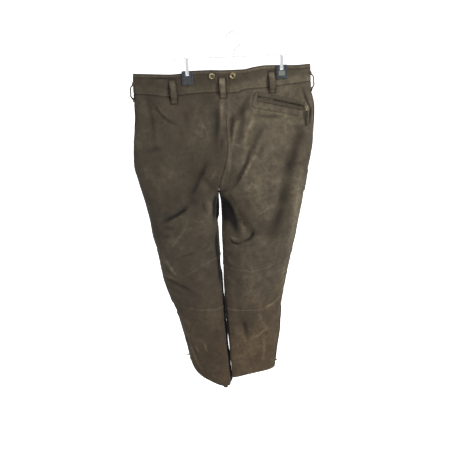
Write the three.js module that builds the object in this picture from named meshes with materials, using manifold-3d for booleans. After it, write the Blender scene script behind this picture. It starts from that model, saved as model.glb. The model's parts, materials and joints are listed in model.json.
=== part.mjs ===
// Hunting trousers of nubuck leather, hanging by the waistband from a wire hanger with two clips.
// Millimetres. +X is the wearer's right, +Y the front, +Z up. Heights of the garment are counted
// from the waistband's top edge; the last lines move the origin to the inside top of the hook.
import * as THREE from "three";
import Module from "manifold-3d";

const wasm = await Module();
wasm.setup();

// ---- driving dimensions ----
const WALL = 2; // trouser leather
const BAND_WALL = 2.8; // doubled leather of the waistband
const SEAM = 0.3; // gap between pieces that are sewn edge to edge
const SEAM_TURN = 0.0003; // half that gap at the side seam and inseam, as a share of a section
const LIFT = 0.45; // gap under a piece that is sewn on top of a panel
const BAND_MIDDLE = -28; // height halfway down the waistband
const CROTCH = { x: -30.5, z: -340 };
const FORK_TOP = -225; // the seat starts to divide into legs here
const FORK_SPREAD = 0.07; // how far the fork's sharp curve reaches from the seat seam
const PELVIS_POWER = 2.7; // superellipse powers of the sections
const LEG_POWER = 2.25;
const HANGER = { x: 27, rodZ: 38, rodR: 2, halfLength: 172, wireR: 1.8, hookR: 21, neck: 22 };
const CLIPS = [
  { name: "left", x: -104, rise: -3 },
  { name: "right", x: 158, rise: 3 },
];
const CLIP = {
  width: 31,
  top: 9,
  bottom: -28,
  pad: 3.6,
  corner: 3,
  shoulder: 2,
  notchWidth: 10,
  notchDepth: 13,
  strap: 1.3,
};
const PINCH = { y: 3.3, halfWidth: 16, spread: 42, from: -36, fade: 85 };

const LEATHER = { color: 0x5b5040, roughness: 0.92, metalness: 0 };
const LEATHER_DARK = { color: 0x463d31, roughness: 0.9, metalness: 0 };
const LEATHER_LIGHT = { color: 0x73675a, roughness: 0.92, metalness: 0 };
const BRASS = { color: 0x7c6a45, roughness: 0.42, metalness: 0.9 };
const TAPE = { color: 0x24201b, roughness: 0.95, metalness: 0 };
const PLASTIC = { color: 0x2b2c2e, roughness: 0.5, metalness: 0 };
const STEEL = { color: 0xc6c8ca, roughness: 0.3, metalness: 0.9 };

// ---- section tables: one row per height; a value that is left out runs smoothly past that row ----
// centre: x of the seam at centre back and front. outer and inner: x of the side seam and inseam,
// outerY and innerY their y. back and front: how far the section stands out on each side of them.
const LEFT_SECTIONS = [
  { z: 20, outer: -254, outerY: 0, back: 11, front: 11, centre: 10 },
  { z: -20, outer: -258, outerY: 0, back: 13, front: 13, centre: 10 },
  { z: -54, centre: 8.5 },
  { z: -60, outer: -260, outerY: 0, back: 16, front: 15, centre: 4 },
  { z: -75, centre: 0 },
  { z: -106, outer: -259, outerY: 0, back: 24, front: 22, centre: -2 },
  { z: -150, outer: -264, outerY: 0, back: 33, front: 31, centre: -1 },
  { z: -200, outer: -275, outerY: 0, back: 43, front: 40, centre: 0 },
  { z: -250, outer: -279, outerY: 0, back: 51, front: 47, centre: -8 },
  { z: -300, outer: -271, outerY: 0, back: 58, front: 53, centre: -22, inner: -30.9, innerY: 0 },
  { z: -340, outer: -262, outerY: 0, back: 62, front: 58, centre: -30.5, inner: -30.9, innerY: 0 },
  { z: -375, outer: -255, outerY: 0, back: 65, front: 61, centre: -30.5, inner: -38, innerY: 0 },
  { z: -430, outer: -248, outerY: 0, back: 66, front: 62, centre: -30.5, inner: -44, innerY: 0 },
  { z: -470, outer: -246, outerY: 0, back: 64, front: 60, centre: -30.5, inner: -37, innerY: 0 },
  { z: -520, outer: -236, outerY: 0, back: 60, front: 57, centre: -30.5, inner: -36, innerY: -2 },
  { z: -575, outer: -231, outerY: 0, back: 55, front: 54, centre: -30.5, inner: -36, innerY: -4 },
  { z: -632, outer: -225, outerY: 2, back: 49, front: 50, centre: -30.5, inner: -35, innerY: -8 },
  { z: -692, outer: -212, outerY: 6, back: 43, front: 47, centre: -30.5, inner: -35, innerY: -13 },
  { z: -754, outer: -193, outerY: 10, back: 38, front: 44, centre: -30.5, inner: -34, innerY: -19 },
  { z: -818, outer: -180, outerY: 15, back: 34, front: 42, centre: -30.5, inner: -31, innerY: -25 },
  { z: -883, outer: -169, outerY: 20, back: 31, front: 40, centre: -30.5, inner: -28, innerY: -30 },
  { z: -950, outer: -161, outerY: 25, back: 29, front: 38, centre: -30.5, inner: -24, innerY: -35 },
  { z: -1010, outer: -154, outerY: 28, back: 28, front: 36, centre: -30.5, inner: -21, innerY: -38 },
  { z: -1060, outer: -149, outerY: 29, back: 28, front: 36, centre: -30.5, inner: -19, innerY: -39 },
];
const RIGHT_SECTIONS = [
  { z: 20, outer: 238, outerY: 0, back: 11, front: 11, centre: 10 },
  { z: -20, outer: 240, outerY: 0, back: 13, front: 13, centre: 10 },
  { z: -54, centre: 8.5 },
  { z: -60, outer: 243, outerY: 0, back: 16, front: 15, centre: 4 },
  { z: -75, centre: 0 },
  { z: -106, outer: 250, outerY: 0, back: 24, front: 22, centre: -2 },
  { z: -150, outer: 250, outerY: 0, back: 33, front: 31, centre: -1 },
  { z: -200, outer: 250, outerY: 0, back: 43, front: 40, centre: 0 },
  { z: -250, outer: 244, outerY: 0, back: 51, front: 47, centre: -8 },
  { z: -300, outer: 235, outerY: 0, back: 58, front: 53, centre: -22, inner: -30.1, innerY: 0 },
  { z: -340, outer: 228, outerY: 0, back: 62, front: 58, centre: -30.5, inner: -30.1, innerY: 0 },
  { z: -375, outer: 223, outerY: 0, back: 65, front: 61, centre: -30.5, inner: -27, innerY: 0 },
  { z: -430, outer: 214, outerY: 0, back: 66, front: 62, centre: -30.5, inner: -26, innerY: 0 },
  { z: -483, outer: 206, outerY: 0, back: 62, front: 60, centre: -30.5, inner: -28, innerY: -2 },
  { z: -537, outer: 195, outerY: 0, back: 57, front: 57, centre: -30.5, inner: -28, innerY: -5 },
  { z: -593, outer: 184, outerY: 0, back: 51, front: 54, centre: -30.5, inner: -28, innerY: -9 },
  { z: -651, outer: 175, outerY: 0, back: 44, front: 51, centre: -30.5, inner: -29, innerY: -13 },
  { z: -710, outer: 165, outerY: 0, back: 36, front: 49, centre: -30.5, inner: -28, innerY: -18 },
  { z: -771, outer: 157, outerY: 0, back: 29, front: 47, centre: -30.5, inner: -26, innerY: -23 },
  { z: -834, outer: 155, outerY: 0, back: 23, front: 46, centre: -30.5, inner: -23, innerY: -27 },
  { z: -898, outer: 147, outerY: 0, back: 18, front: 45, centre: -30.5, inner: -19, innerY: -30 },
  { z: -965, outer: 139, outerY: 0, back: 15, front: 44, centre: -30.5, inner: -16, innerY: -32 },
  { z: -1010, outer: 133, outerY: 0, back: 14, front: 43, centre: -30.5, inner: -14, innerY: -33 },
  { z: -1060, outer: 128, outerY: 0, back: 14, front: 43, centre: -30.5, inner: -12, innerY: -33 },
];

// The waistband's top edge sags between the clips and rises at the right.
const TOP_EDGE = [
  { x: -262, rise: 5 },
  { x: -200, rise: 1 },
  { x: -150, rise: -1.5 },
  { x: -115, rise: 1 },
  { x: -88, rise: 6 },
  { x: -50, rise: 6 },
  { x: 0, rise: 4 },
  { x: 50, rise: 4 },
  { x: 85, rise: 9.5 },
  { x: 115, rise: 12.5 },
  { x: 160, rise: 11.5 },
  { x: 200, rise: 10 },
  { x: 245, rise: 12 },
];

// The left front's inner edge is not straight: below the crotch and from the knee down it reaches
// past the inseam, towards the right leg.
const TUCK = { angle: 0.92, spread: 0.05, fade: 0.03 };
const LEFT_TUCK = [
  { z: -340, reach: 0 },
  { z: -375, reach: 16 },
  { z: -425, reach: 20 },
  { z: -450, reach: 8 },
  { z: -480, reach: 2 },
  { z: -575, reach: 2 },
  { z: -632, reach: 11 },
  { z: -692, reach: 13 },
  { z: -1060, reach: 13 },
];

// The waistband's lower seam is not parallel to its top edge: the band is deeper at the right.
const BAND_FOOT = [
  { x: -256, z: -49 },
  { x: -200, z: -54 },
  { x: -158, z: -60 },
  { x: -125, z: -57 },
  { x: -22, z: -53 },
  { x: 9, z: -56 },
  { x: 33, z: -55 },
  { x: 60, z: -47.5 },
  { x: 115, z: -46 },
  { x: 143, z: -43 },
  { x: 209, z: -37 },
  { x: 240, z: -34 },
];

// Seam heights round each leg: turn 0 is the inseam, 0.25 the back, 0.5 the side seam, 0.75 the front.
const LEFT_KNEE = [
  { turn: 0, z: -545 },
  { turn: 0.08, z: -548 },
  { turn: 0.18, z: -568 },
  { turn: 0.31, z: -596 },
  { turn: 0.42, z: -545 },
  { turn: 0.5, z: -522 },
  { turn: 0.75, z: -560 },
  { turn: 1, z: -545 },
];
const RIGHT_KNEE = [
  { turn: 0, z: -574 },
  { turn: 0.21, z: -589 },
  { turn: 0.33, z: -573 },
  { turn: 0.43, z: -548 },
  { turn: 0.5, z: -536 },
  { turn: 0.75, z: -572 },
  { turn: 1, z: -574 },
];
const LEFT_CALF = [
  { turn: 0, z: -729 },
  { turn: 0.25, z: -726 },
  { turn: 0.5, z: -708 },
  { turn: 0.75, z: -724 },
  { turn: 1, z: -729 },
];
const RIGHT_CALF = [
  { turn: 0, z: -729 },
  { turn: 0.28, z: -738 },
  { turn: 0.4, z: -716 },
  { turn: 0.5, z: -686 },
  { turn: 0.75, z: -722 },
  { turn: 1, z: -729 },
];
const LEFT_HEM = [
  { turn: 0, z: -1030 },
  { turn: 0.1, z: -1034 },
  { turn: 0.25, z: -1025 },
  { turn: 0.36, z: -1016 },
  { turn: 0.43, z: -1003 },
  { turn: 0.5, z: -976 },
  { turn: 0.6, z: -1000 },
  { turn: 0.75, z: -1016 },
  { turn: 1, z: -1030 },
];
const RIGHT_HEM = [
  { turn: 0, z: -1010 },
  { turn: 0.12, z: -1004 },
  { turn: 0.3, z: -1000 },
  { turn: 0.5, z: -1000 },
  { turn: 0.75, z: -1006 },
  { turn: 1, z: -1010 },
];

// The largest folds: a line on the garment seen from behind (or before), its half width, and its
// height, which is negative for a trough.
const FOLDS = [
  { side: "back", x1: 76, z1: -70, x2: 38, z2: -108, width: 13, height: -4 },
  { side: "back", x1: 38, z1: -108, x2: 2, z2: -156, width: 14, height: -5 },
  { side: "back", x1: 2, z1: -156, x2: -2, z2: -235, width: 13, height: -4 },
  { side: "back", x1: -211, z1: -75, x2: -190, z2: -165, width: 18, height: -5 },
  { side: "back", x1: 199, z1: -140, x2: 177, z2: -275, width: 20, height: -9 },
  { side: "back", x1: 177, z1: -275, x2: 157, z2: -363, width: 22, height: -13 },
  { side: "back", x1: 157, z1: -363, x2: 103, z2: -473, width: 22, height: -10 },
  { side: "back", x1: 70, z1: -235, x2: 17, z2: -312, width: 15, height: -6 },
  { side: "back", x1: -5, z1: -375, x2: 28, z2: -427, width: 20, height: -13 },
  { side: "back", x1: 28, z1: -427, x2: 54, z2: -466, width: 17, height: -11 },
  { side: "back", x1: -73, z1: -255, x2: -98, z2: -328, width: 14, height: -6 },
  { side: "back", x1: -110, z1: -364, x2: -198, z2: -410, width: 15, height: -7 },
  { side: "back", x1: -152, z1: -820, x2: -120, z2: -935, width: 14, height: 5 },
  { side: "back", x1: 28, z1: -795, x2: 43, z2: -835, width: 15, height: -6 },
  { side: "front", x1: -70, z1: -150, x2: -160, z2: -290, width: 20, height: -8 },
  { side: "front", x1: 60, z1: -150, x2: 140, z2: -300, width: 20, height: -8 },
  { side: "front", x1: -140, z1: -330, x2: -160, z2: -500, width: 22, height: -10 },
  { side: "front", x1: 90, z1: -340, x2: 110, z2: -520, width: 22, height: -10 },
  { side: "front", x1: -60, z1: -380, x2: -110, z2: -450, width: 15, height: -7 },
  { side: "front", x1: 0, z1: -380, x2: 50, z2: -450, width: 15, height: -7 },
  { side: "front", x1: -180, z1: -640, x2: -90, z2: -660, width: 16, height: -6 },
  { side: "front", x1: 10, z1: -650, x2: 100, z2: -640, width: 16, height: -6 },
  { side: "front", x1: -120, z1: -800, x2: -90, z2: -920, width: 15, height: 5 },
];

// ---- joining solids ----
function solidOf(geometry) {
  const plain = geometry.index ? geometry.toNonIndexed() : geometry;
  const source = plain.attributes.position.array;
  const seen = new Map();
  const points = [];
  const triangles = [];
  for (let i = 0; i < source.length; i += 3) {
    const key = [0, 1, 2].map((k) => Math.round(source[i + k] * 1e4)).join(",");
    if (!seen.has(key)) {
      seen.set(key, points.length / 3);
      points.push(source[i], source[i + 1], source[i + 2]);
    }
    triangles.push(seen.get(key));
  }
  const kept = [];
  for (let i = 0; i < triangles.length; i += 3) {
    const [a, b, c] = triangles.slice(i, i + 3);
    if (a !== b && b !== c && a !== c) kept.push(a, b, c);
  }
  const mesh = { numProp: 3, vertProperties: new Float32Array(points), triVerts: new Uint32Array(kept) };
  return new wasm.Manifold(new wasm.Mesh(mesh));
}

function geometryOf(solid) {
  const mesh = solid.getMesh();
  const geometry = new THREE.BufferGeometry();
  geometry.setAttribute("position", new THREE.BufferAttribute(mesh.vertProperties, 3));
  geometry.setIndex(new THREE.BufferAttribute(mesh.triVerts, 1));
  geometry.computeVertexNormals();
  return geometry;
}

// ---- reading a table ----
// A smooth curve through a table's rows: value of one named column against another.
function curve(rows, key, column) {
  const list = rows.filter((row) => column in row).sort((a, b) => a[key] - b[key]);
  const at = list.map((row) => row[key]);
  const value = list.map((row) => row[column]);
  const rise = at.slice(1).map((a, i) => (value[i + 1] - value[i]) / (a - at[i]));
  const slope = value.map((_, i) => {
    if (i === 0 || i === at.length - 1) return rise[Math.min(i, rise.length - 1)];
    if (rise[i - 1] * rise[i] <= 0) return 0;
    return (2 * rise[i - 1] * rise[i]) / (rise[i - 1] + rise[i]);
  });
  return (key0) => {
    const k = THREE.MathUtils.clamp(key0, at[0], at[at.length - 1]);
    let i = 0;
    while (i < at.length - 2 && k > at[i + 1]) i += 1;
    const h = at[i + 1] - at[i];
    const t = (k - at[i]) / h;
    const t2 = t * t;
    const t3 = t2 * t;
    return (
      (2 * t3 - 3 * t2 + 1) * value[i] +
      (t3 - 2 * t2 + t) * h * slope[i] +
      (3 * t2 - 2 * t3) * value[i + 1] +
      (t3 - t2) * h * slope[i + 1]
    );
  };
}

function half(name, sections, knee, calf, hem) {
  const read = {};
  for (const column of ["outer", "inner", "outerY", "innerY", "back", "front", "centre"])
    read[column] = curve(sections, "z", column);
  return {
    name,
    read,
    knee: curve(knee, "turn", "z"),
    calf: curve(calf, "turn", "z"),
    hem: curve(hem, "turn", "z"),
    rulers: new Map(),
    panels: [],
  };
}

const HALVES = {
  left: half("left", LEFT_SECTIONS, LEFT_KNEE, LEFT_CALF, LEFT_HEM),
  right: half("right", RIGHT_SECTIONS, RIGHT_KNEE, RIGHT_CALF, RIGHT_HEM),
};
const topRise = curve(TOP_EDGE, "x", "rise");
const bandFoot = curve(BAND_FOOT, "x", "z");
const leftTuck = curve(LEFT_TUCK, "z", "reach");

// ---- the garment's surface ----
const signedPower = (v, power) => Math.sign(v) * Math.abs(v) ** power;

// How strongly a clip presses the two layers together at x, z: 1 in the clip, 0 far from it.
function pinch(x, z) {
  const down = Math.exp(-((Math.max(0, PINCH.from - z) / PINCH.fade) ** 2));
  const near = Math.min(...CLIPS.map((clip) => Math.max(0, Math.abs(x - clip.x) - PINCH.halfWidth)));
  return down * Math.exp(-((near / PINCH.spread) ** 2));
}

// How far the left front bulges past its inseam at a section's angle and height.
function tuck(one, angle, z) {
  if (one.name !== "left") return 0;
  const near = Math.exp(-(((angle - TUCK.angle) / TUCK.spread) ** 2));
  return leftTuck(z) * near * THREE.MathUtils.smoothstep(1 - angle, 0, TUCK.fade);
}

// One point of a half's section at height z. angle runs 0..1 from the centre back round to the front.
function sectionPoint(one, angle, z) {
  const r = one.read;
  const centre = r.centre(z);
  const outer = r.outer(z);
  const depth = (y) => (y < 0 ? r.back(z) : r.front(z));
  // above the fork: half of a flat oval round the hips
  const a = Math.PI * angle;
  const reach = Math.sin(a) ** (2 / PELVIS_POWER);
  const hipX = centre + (outer - centre) * reach;
  const hipSide = -signedPower(Math.cos(a), 2 / PELVIS_POWER);
  const hipY = r.outerY(z) * reach + hipSide * depth(hipSide);
  // below the fork: a whole oval round one leg
  const b = 2 * Math.PI * angle;
  const inner = r.inner(z);
  const across = 0.5 - 0.5 * signedPower(Math.cos(b), 2 / LEG_POWER);
  const legX = inner + (outer - inner) * across + tuck(one, angle, z);
  const legSide = -signedPower(Math.sin(b), 2 / LEG_POWER);
  const lean = r.innerY(z) + (r.outerY(z) - r.innerY(z)) * across;
  const legY = lean + legSide * depth(legSide);
  const t = THREE.MathUtils.clamp((FORK_TOP - z) / (FORK_TOP - CROTCH.z), 0, 1);
  const atSeam = Math.exp(-((Math.min(angle, 1 - angle) / FORK_SPREAD) ** 2));
  const hip = atSeam * Math.sqrt(1 - t * t) + (1 - atSeam) * (1 - t * t * (3 - 2 * t));
  const x = hip * hipX + (1 - hip) * legX;
  const y = hip * hipY + (1 - hip) * legY;
  const pressed = pinch(x, z);
  const flat = Math.sign(y) * Math.min(Math.abs(y), PINCH.y);
  return [x, y + (flat - y) * pressed];
}

// The section at z measured along its length, so that equal turns are equal lengths of leather.
const STEPS = 120;
function ruler(one, z) {
  const key = z.toFixed(3);
  if (!one.rulers.has(key)) {
    const points = [];
    for (let i = 0; i <= STEPS; i += 1) points.push(sectionPoint(one, i / STEPS, z));
    const length = [0];
    for (let i = 1; i <= STEPS; i += 1) {
      const [x0, y0] = points[i - 1];
      const [x1, y1] = points[i];
      length.push(length[i - 1] + Math.hypot(x1 - x0, y1 - y0));
    }
    one.rulers.set(key, { points, length });
  }
  return one.rulers.get(key);
}

// turn 0..0.5 is the back, from the centre seam or inseam to the side seam, and 0.5..1 the front.
function skin(one, turn, z) {
  const { points, length } = ruler(one, z);
  const middle = STEPS / 2;
  const isBack = turn <= 0.5;
  const from = isBack ? 0 : middle;
  const to = isBack ? middle : STEPS;
  const part = isBack ? turn * 2 : turn * 2 - 1;
  const target = length[from] + part * (length[to] - length[from]);
  let i = from;
  while (i < to - 1 && length[i + 1] < target) i += 1;
  const t = (target - length[i]) / (length[i + 1] - length[i]);
  const x = points[i][0] + (points[i + 1][0] - points[i][0]) * t;
  const y = points[i][1] + (points[i + 1][1] - points[i][1]) * t;
  return new THREE.Vector3(x, y, z);
}

// Outward normal of the surface before folds.
const CENTRE_TURN = 0.002; // nearer than this to the centre seam the normal has no part across it
function outward(one, turn, z) {
  const step = 0.008;
  const dz = 1.5;
  const along = new THREE.Vector3();
  const atCentre = Math.min(turn, 1 - turn) < CENTRE_TURN;
  if (atCentre && z > CROTCH.z) {
    along.set(turn < 0.5 ? 1 : -1, 0, 0);
    if (one.name === "left") along.negate();
  } else if (atCentre) {
    along.subVectors(skin(one, step, z), skin(one, 1 - step, z));
  } else {
    along.subVectors(
      skin(one, Math.min(turn + step, 1), z),
      skin(one, Math.max(turn - step, 0), z),
    );
  }
  const up = new THREE.Vector3().subVectors(skin(one, turn, z + dz), skin(one, turn, z - dz));
  const normal = new THREE.Vector3().crossVectors(along, up).normalize();
  return one.name === "left" ? normal.negate() : normal;
}

function distanceToLine(x, z, fold) {
  const dx = fold.x2 - fold.x1;
  const dz = fold.z2 - fold.z1;
  const t = ((x - fold.x1) * dx + (z - fold.z1) * dz) / (dx * dx + dz * dz);
  const k = THREE.MathUtils.clamp(t, 0, 1);
  return Math.hypot(x - fold.x1 - k * dx, z - fold.z1 - k * dz);
}

// Height of the folds at a point of the surface; they die out at the side seam and the inseam.
const FOLD_FADE = { side: 0.06, inseam: 0.02 };
function foldHeight(turn, x, z) {
  const face = turn < 0.5 ? "back" : "front";
  const fromInseam = Math.min(turn, 1 - turn);
  const atSide = THREE.MathUtils.smoothstep(0.5 - fromInseam, 0, FOLD_FADE.side);
  const atInseam = THREE.MathUtils.smoothstep(fromInseam, 0, FOLD_FADE.inseam);
  let height = 0;
  for (const fold of FOLDS) {
    if (fold.side !== face) continue;
    height += fold.height * Math.exp(-((distanceToLine(x, z, fold) / fold.width) ** 2));
  }
  return height * atSide * atInseam;
}

// ---- solids ----
function meshOf(name, geometry, look) {
  const mesh = new THREE.Mesh(geometry, new THREE.MeshStandardMaterial(look));
  mesh.name = name;
  return mesh;
}

function signedVolume(positions, index) {
  const a = new THREE.Vector3();
  const b = new THREE.Vector3();
  const c = new THREE.Vector3();
  let six = 0;
  for (let i = 0; i < index.length; i += 3) {
    a.fromArray(positions, index[i] * 3);
    b.fromArray(positions, index[i + 1] * 3);
    c.fromArray(positions, index[i + 2] * 3);
    six += a.dot(b.cross(c));
  }
  return six;
}

// A closed sheet from two grids of points: over[column][row] is its outside and under its inside.
function sheet(name, over, under, look) {
  const columns = over.length;
  const rows = over[0].length;
  const positions = [];
  for (const grid of [over, under])
    for (const column of grid) for (const point of column) positions.push(...point.toArray());
  const outside = (i, j) => i * rows + j;
  const inside = (i, j) => (columns + i) * rows + j;
  const lastColumn = columns - 1;
  const lastRow = rows - 1;
  const index = [];
  const quad = (a, b, c, d) => index.push(a, b, c, a, c, d);
  for (let i = 0; i < lastColumn; i += 1)
    for (let j = 0; j < lastRow; j += 1) {
      quad(outside(i, j), outside(i + 1, j), outside(i + 1, j + 1), outside(i, j + 1));
      quad(inside(i, j), inside(i, j + 1), inside(i + 1, j + 1), inside(i + 1, j));
    }
  for (let i = 0; i < lastColumn; i += 1) {
    const k = i + 1;
    quad(outside(k, 0), outside(i, 0), inside(i, 0), inside(k, 0));
    quad(outside(i, lastRow), outside(k, lastRow), inside(k, lastRow), inside(i, lastRow));
  }
  for (let j = 0; j < lastRow; j += 1) {
    const k = j + 1;
    quad(outside(0, j), outside(0, k), inside(0, k), inside(0, j));
    quad(outside(lastColumn, k), outside(lastColumn, j), inside(lastColumn, j), inside(lastColumn, k));
  }
  if (signedVolume(positions, index) < 0) index.reverse();
  const geometry = new THREE.BufferGeometry();
  geometry.setAttribute("position", new THREE.Float32BufferAttribute(positions, 3));
  geometry.setIndex(index);
  geometry.computeVertexNormals();
  return meshOf(name, geometry, look);
}

// A cut piece of the garment between two turns; heights(turn) lists its rows from top to bottom.
function panel(one, name, fromTurn, toTurn, columns, heights, wall, look) {
  const over = [];
  const under = [];
  const turns = [];
  const levels = [];
  for (let i = 0; i <= columns; i += 1) {
    const plain = fromTurn + ((toTurn - fromTurn) * i) / columns;
    const turn = THREE.MathUtils.clamp(plain, fromTurn + SEAM_TURN, toTurn - SEAM_TURN);
    const rows = heights(plain);
    rows[0] -= SEAM / 2;
    rows[rows.length - 1] += SEAM / 2;
    const outside = [];
    const inside = [];
    for (const z of rows) {
      const base = skin(one, turn, z);
      const normal = outward(one, turn, z);
      const height = foldHeight(turn, base.x, z);
      outside.push(base.clone().addScaledVector(normal, height));
      inside.push(base.clone().addScaledVector(normal, height - wall));
    }
    over.push(outside);
    under.push(inside);
    turns.push(turn);
    levels.push(rows);
  }
  one.panels.push({ fromTurn, toTurn, turns, levels, over });
  return sheet(name, over, under, look);
}

// Facets of a panel: columns across it, and rows down each stretch of it.
const COLUMNS = 16;
const ROWS = { band: 3, seat: 7, fork: 6, thigh: 8, knee: 6, calf: 9 };

const spaced = (from, to, count) =>
  Array.from({ length: count + 1 }, (_, i) => from + ((to - from) * i) / count);

const bandTop = (one, turn) => topRise(skin(one, turn, BAND_MIDDLE).x);
const bandSeam = (one, turn) => bandFoot(skin(one, turn, BAND_MIDDLE).x);
const bandRows = (one) => (turn) => spaced(bandTop(one, turn), bandSeam(one, turn), ROWS.band);

// From the waistband to the knee; rows crowd together where the fork closes under the seat.
function thighRows(one) {
  return (turn) => {
    const above = spaced(bandSeam(one, turn), FORK_TOP, ROWS.seat).slice(0, -1);
    const angles = spaced(0, Math.PI / 2, ROWS.fork);
    const fork = angles.map((angle) => FORK_TOP + (CROTCH.z - FORK_TOP) * Math.sin(angle));
    const below = spaced(CROTCH.z, one.knee(turn), ROWS.thigh).slice(1);
    return [...above, ...fork, ...below];
  };
}

const kneeRows = (one) => (turn) => spaced(one.knee(turn), one.calf(turn), ROWS.knee);
const calfRows = (one) => (turn) => spaced(one.calf(turn), one.hem(turn), ROWS.calf);

const object = new THREE.Group();
for (const one of Object.values(HALVES))
  for (const [face, from, to] of [["back", 0, 0.5], ["front", 0.5, 1]]) {
    const add = (piece, rows, wall, look) =>
      object.add(panel(one, `${piece}_${one.name}`, from, to, COLUMNS, rows, wall, look));
    add(`waistband_${face}`, bandRows(one), BAND_WALL, LEATHER);
    add(`${face}_thigh`, thighRows(one), WALL, LEATHER);
    add(`${face}_knee`, kneeRows(one), WALL, LEATHER);
    add(`${face}_calf`, calfRows(one), WALL, LEATHER);
  }

// ---- finding places on the panels ----
// The point of the faceted outside at a turn and height, moved out by lift.
function spot(one, turn, z, lift) {
  let found = null;
  let nearest = Infinity;
  for (const p of one.panels) {
    if (turn < p.fromTurn || turn > p.toTurn) continue;
    const last = p.turns.length - 1;
    const t = THREE.MathUtils.clamp(turn, p.turns[0], p.turns[last]);
    let i = 0;
    while (i < last - 1 && t > p.turns[i + 1]) i += 1;
    const a = (t - p.turns[i]) / (p.turns[i + 1] - p.turns[i]);
    const rows = p.levels[i].map((level, j) => level + (p.levels[i + 1][j] - level) * a);
    const bottom = rows.length - 1;
    const miss = Math.max(0, z - rows[0], rows[bottom] - z);
    if (miss >= nearest) continue;
    nearest = miss;
    const zIn = THREE.MathUtils.clamp(z, rows[bottom], rows[0]);
    let j = 0;
    while (j < bottom - 1 && zIn < rows[j + 1]) j += 1;
    const b = (rows[j] - zIn) / (rows[j] - rows[j + 1]);
    const corner = (m, n) => p.over[i + m][j + n];
    const point = corner(0, 0).clone();
    if (a >= b) {
      point.addScaledVector(corner(1, 0).clone().sub(corner(0, 0)), a);
      point.addScaledVector(corner(1, 1).clone().sub(corner(1, 0)), b);
    } else {
      point.addScaledVector(corner(0, 1).clone().sub(corner(0, 0)), b);
      point.addScaledVector(corner(1, 1).clone().sub(corner(0, 1)), a);
    }
    point.z += z - zIn;
    found = point;
  }
  const offCentre = THREE.MathUtils.clamp(turn, CENTRE_TURN, 1 - CENTRE_TURN);
  const normal = outward(one, offCentre, z);
  return { point: found.addScaledVector(normal, lift), normal };
}

// The turn at which a face ("back" or "front") has this x at height z.
function turnAt(one, face, x, z) {
  let low = face === "back" ? 0 : 1;
  let high = 0.5;
  const outwards = one.name === "left" ? -1 : 1;
  const halvings = 26;
  for (let k = 0; k < halvings; k += 1) {
    const middle = (low + high) / 2;
    if ((spot(one, middle, z, 0).point.x - x) * outwards < 0) low = middle;
    else high = middle;
  }
  return (low + high) / 2;
}

function halfAt(x, z) {
  const centre = z > CROTCH.z ? HALVES.left.read.centre(z) : CROTCH.x;
  return x < centre ? HALVES.left : HALVES.right;
}

// A place on the face of the garment, by its x and z.
function place(face, x, z, lift) {
  const one = halfAt(x, z);
  return spot(one, turnAt(one, face, x, z), z, lift);
}

// A sheet laid on the garment: at(u, v) gives { point, normal } over a grid of cells.
function laid(name, cellsU, cellsV, at, thickness, look) {
  const over = [];
  const under = [];
  for (let i = 0; i <= cellsU; i += 1) {
    const outside = [];
    const inside = [];
    for (let j = 0; j <= cellsV; j += 1) {
      const { point, normal } = at(i / cellsU, j / cellsV);
      inside.push(point);
      outside.push(point.clone().addScaledVector(normal, thickness));
    }
    over.push(outside);
    under.push(inside);
  }
  return sheet(name, over, under, look);
}

// A strip from one x, z to another on a face, with its width across that line.
function strip(name, face, from, to, width, lift, thickness, look, cells) {
  const dx = to.x - from.x;
  const dz = to.z - from.z;
  const size = Math.hypot(dx, dz);
  const at = (u, v) => {
    const across = (v - 0.5) * width;
    const x = from.x + dx * u - (dz / size) * across;
    const z = from.z + dz * u + (dx / size) * across;
    return place(face, x, z, lift);
  };
  return laid(name, cells[0], cells[1], at, thickness, look);
}

// A strip down a half's side, between two heights, with one column of corners for each turn.
function sideStrip(name, one, [fromZ, toZ], turns, liftAt, thickness, look, rows) {
  const columns = turns.length - 1;
  const at = (u, v) => {
    const turn = turns[Math.round(u * columns)];
    return spot(one, turn, fromZ + (toZ - fromZ) * v, liftAt(u, v));
  };
  return laid(name, columns, rows, at, thickness, look);
}

// ---- belt loops ----
const LOOP = { width: 18, thickness: 2.2, stand: 8.2, cells: 14, sewn: 0.07, bend: 0.24 };
// face, x at the top and at the bottom, and the heights of its two ends
const LOOPS = [
  { name: "centre_back", face: "back", topX: -8.5, bottomX: -6.5, top: -15, bottom: -69 },
  { name: "back_left", face: "back", topX: -147.5, bottomX: -145.5, top: -17, bottom: -80 },
  { name: "back_right", face: "back", topX: 129, bottomX: 132, top: -5, bottom: -61 },
  { name: "front_left", face: "front", topX: -165, bottomX: -165, top: -14, bottom: -68 },
  { name: "front_right", face: "front", topX: 99, bottomX: 99, top: -5, bottom: -61 },
];
// A loop is sewn down at both ends and stands clear of the band between them, for a belt.
function loopLift(v) {
  const fromEnd = Math.min(v, 1 - v);
  return LIFT + LOOP.stand * THREE.MathUtils.smoothstep(fromEnd, LOOP.sewn, LOOP.sewn + LOOP.bend);
}
for (const loop of LOOPS) {
  const at = (u, v) => {
    const x = loop.topX + (loop.bottomX - loop.topX) * v + (u - 0.5) * LOOP.width;
    const z = loop.top + (loop.bottom - loop.top) * v;
    return place(loop.face, x, z, loopLift(v));
  };
  object.add(laid(`belt_loop_${loop.name}`, 1, LOOP.cells, at, LOOP.thickness, LEATHER_LIGHT));
}
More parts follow.
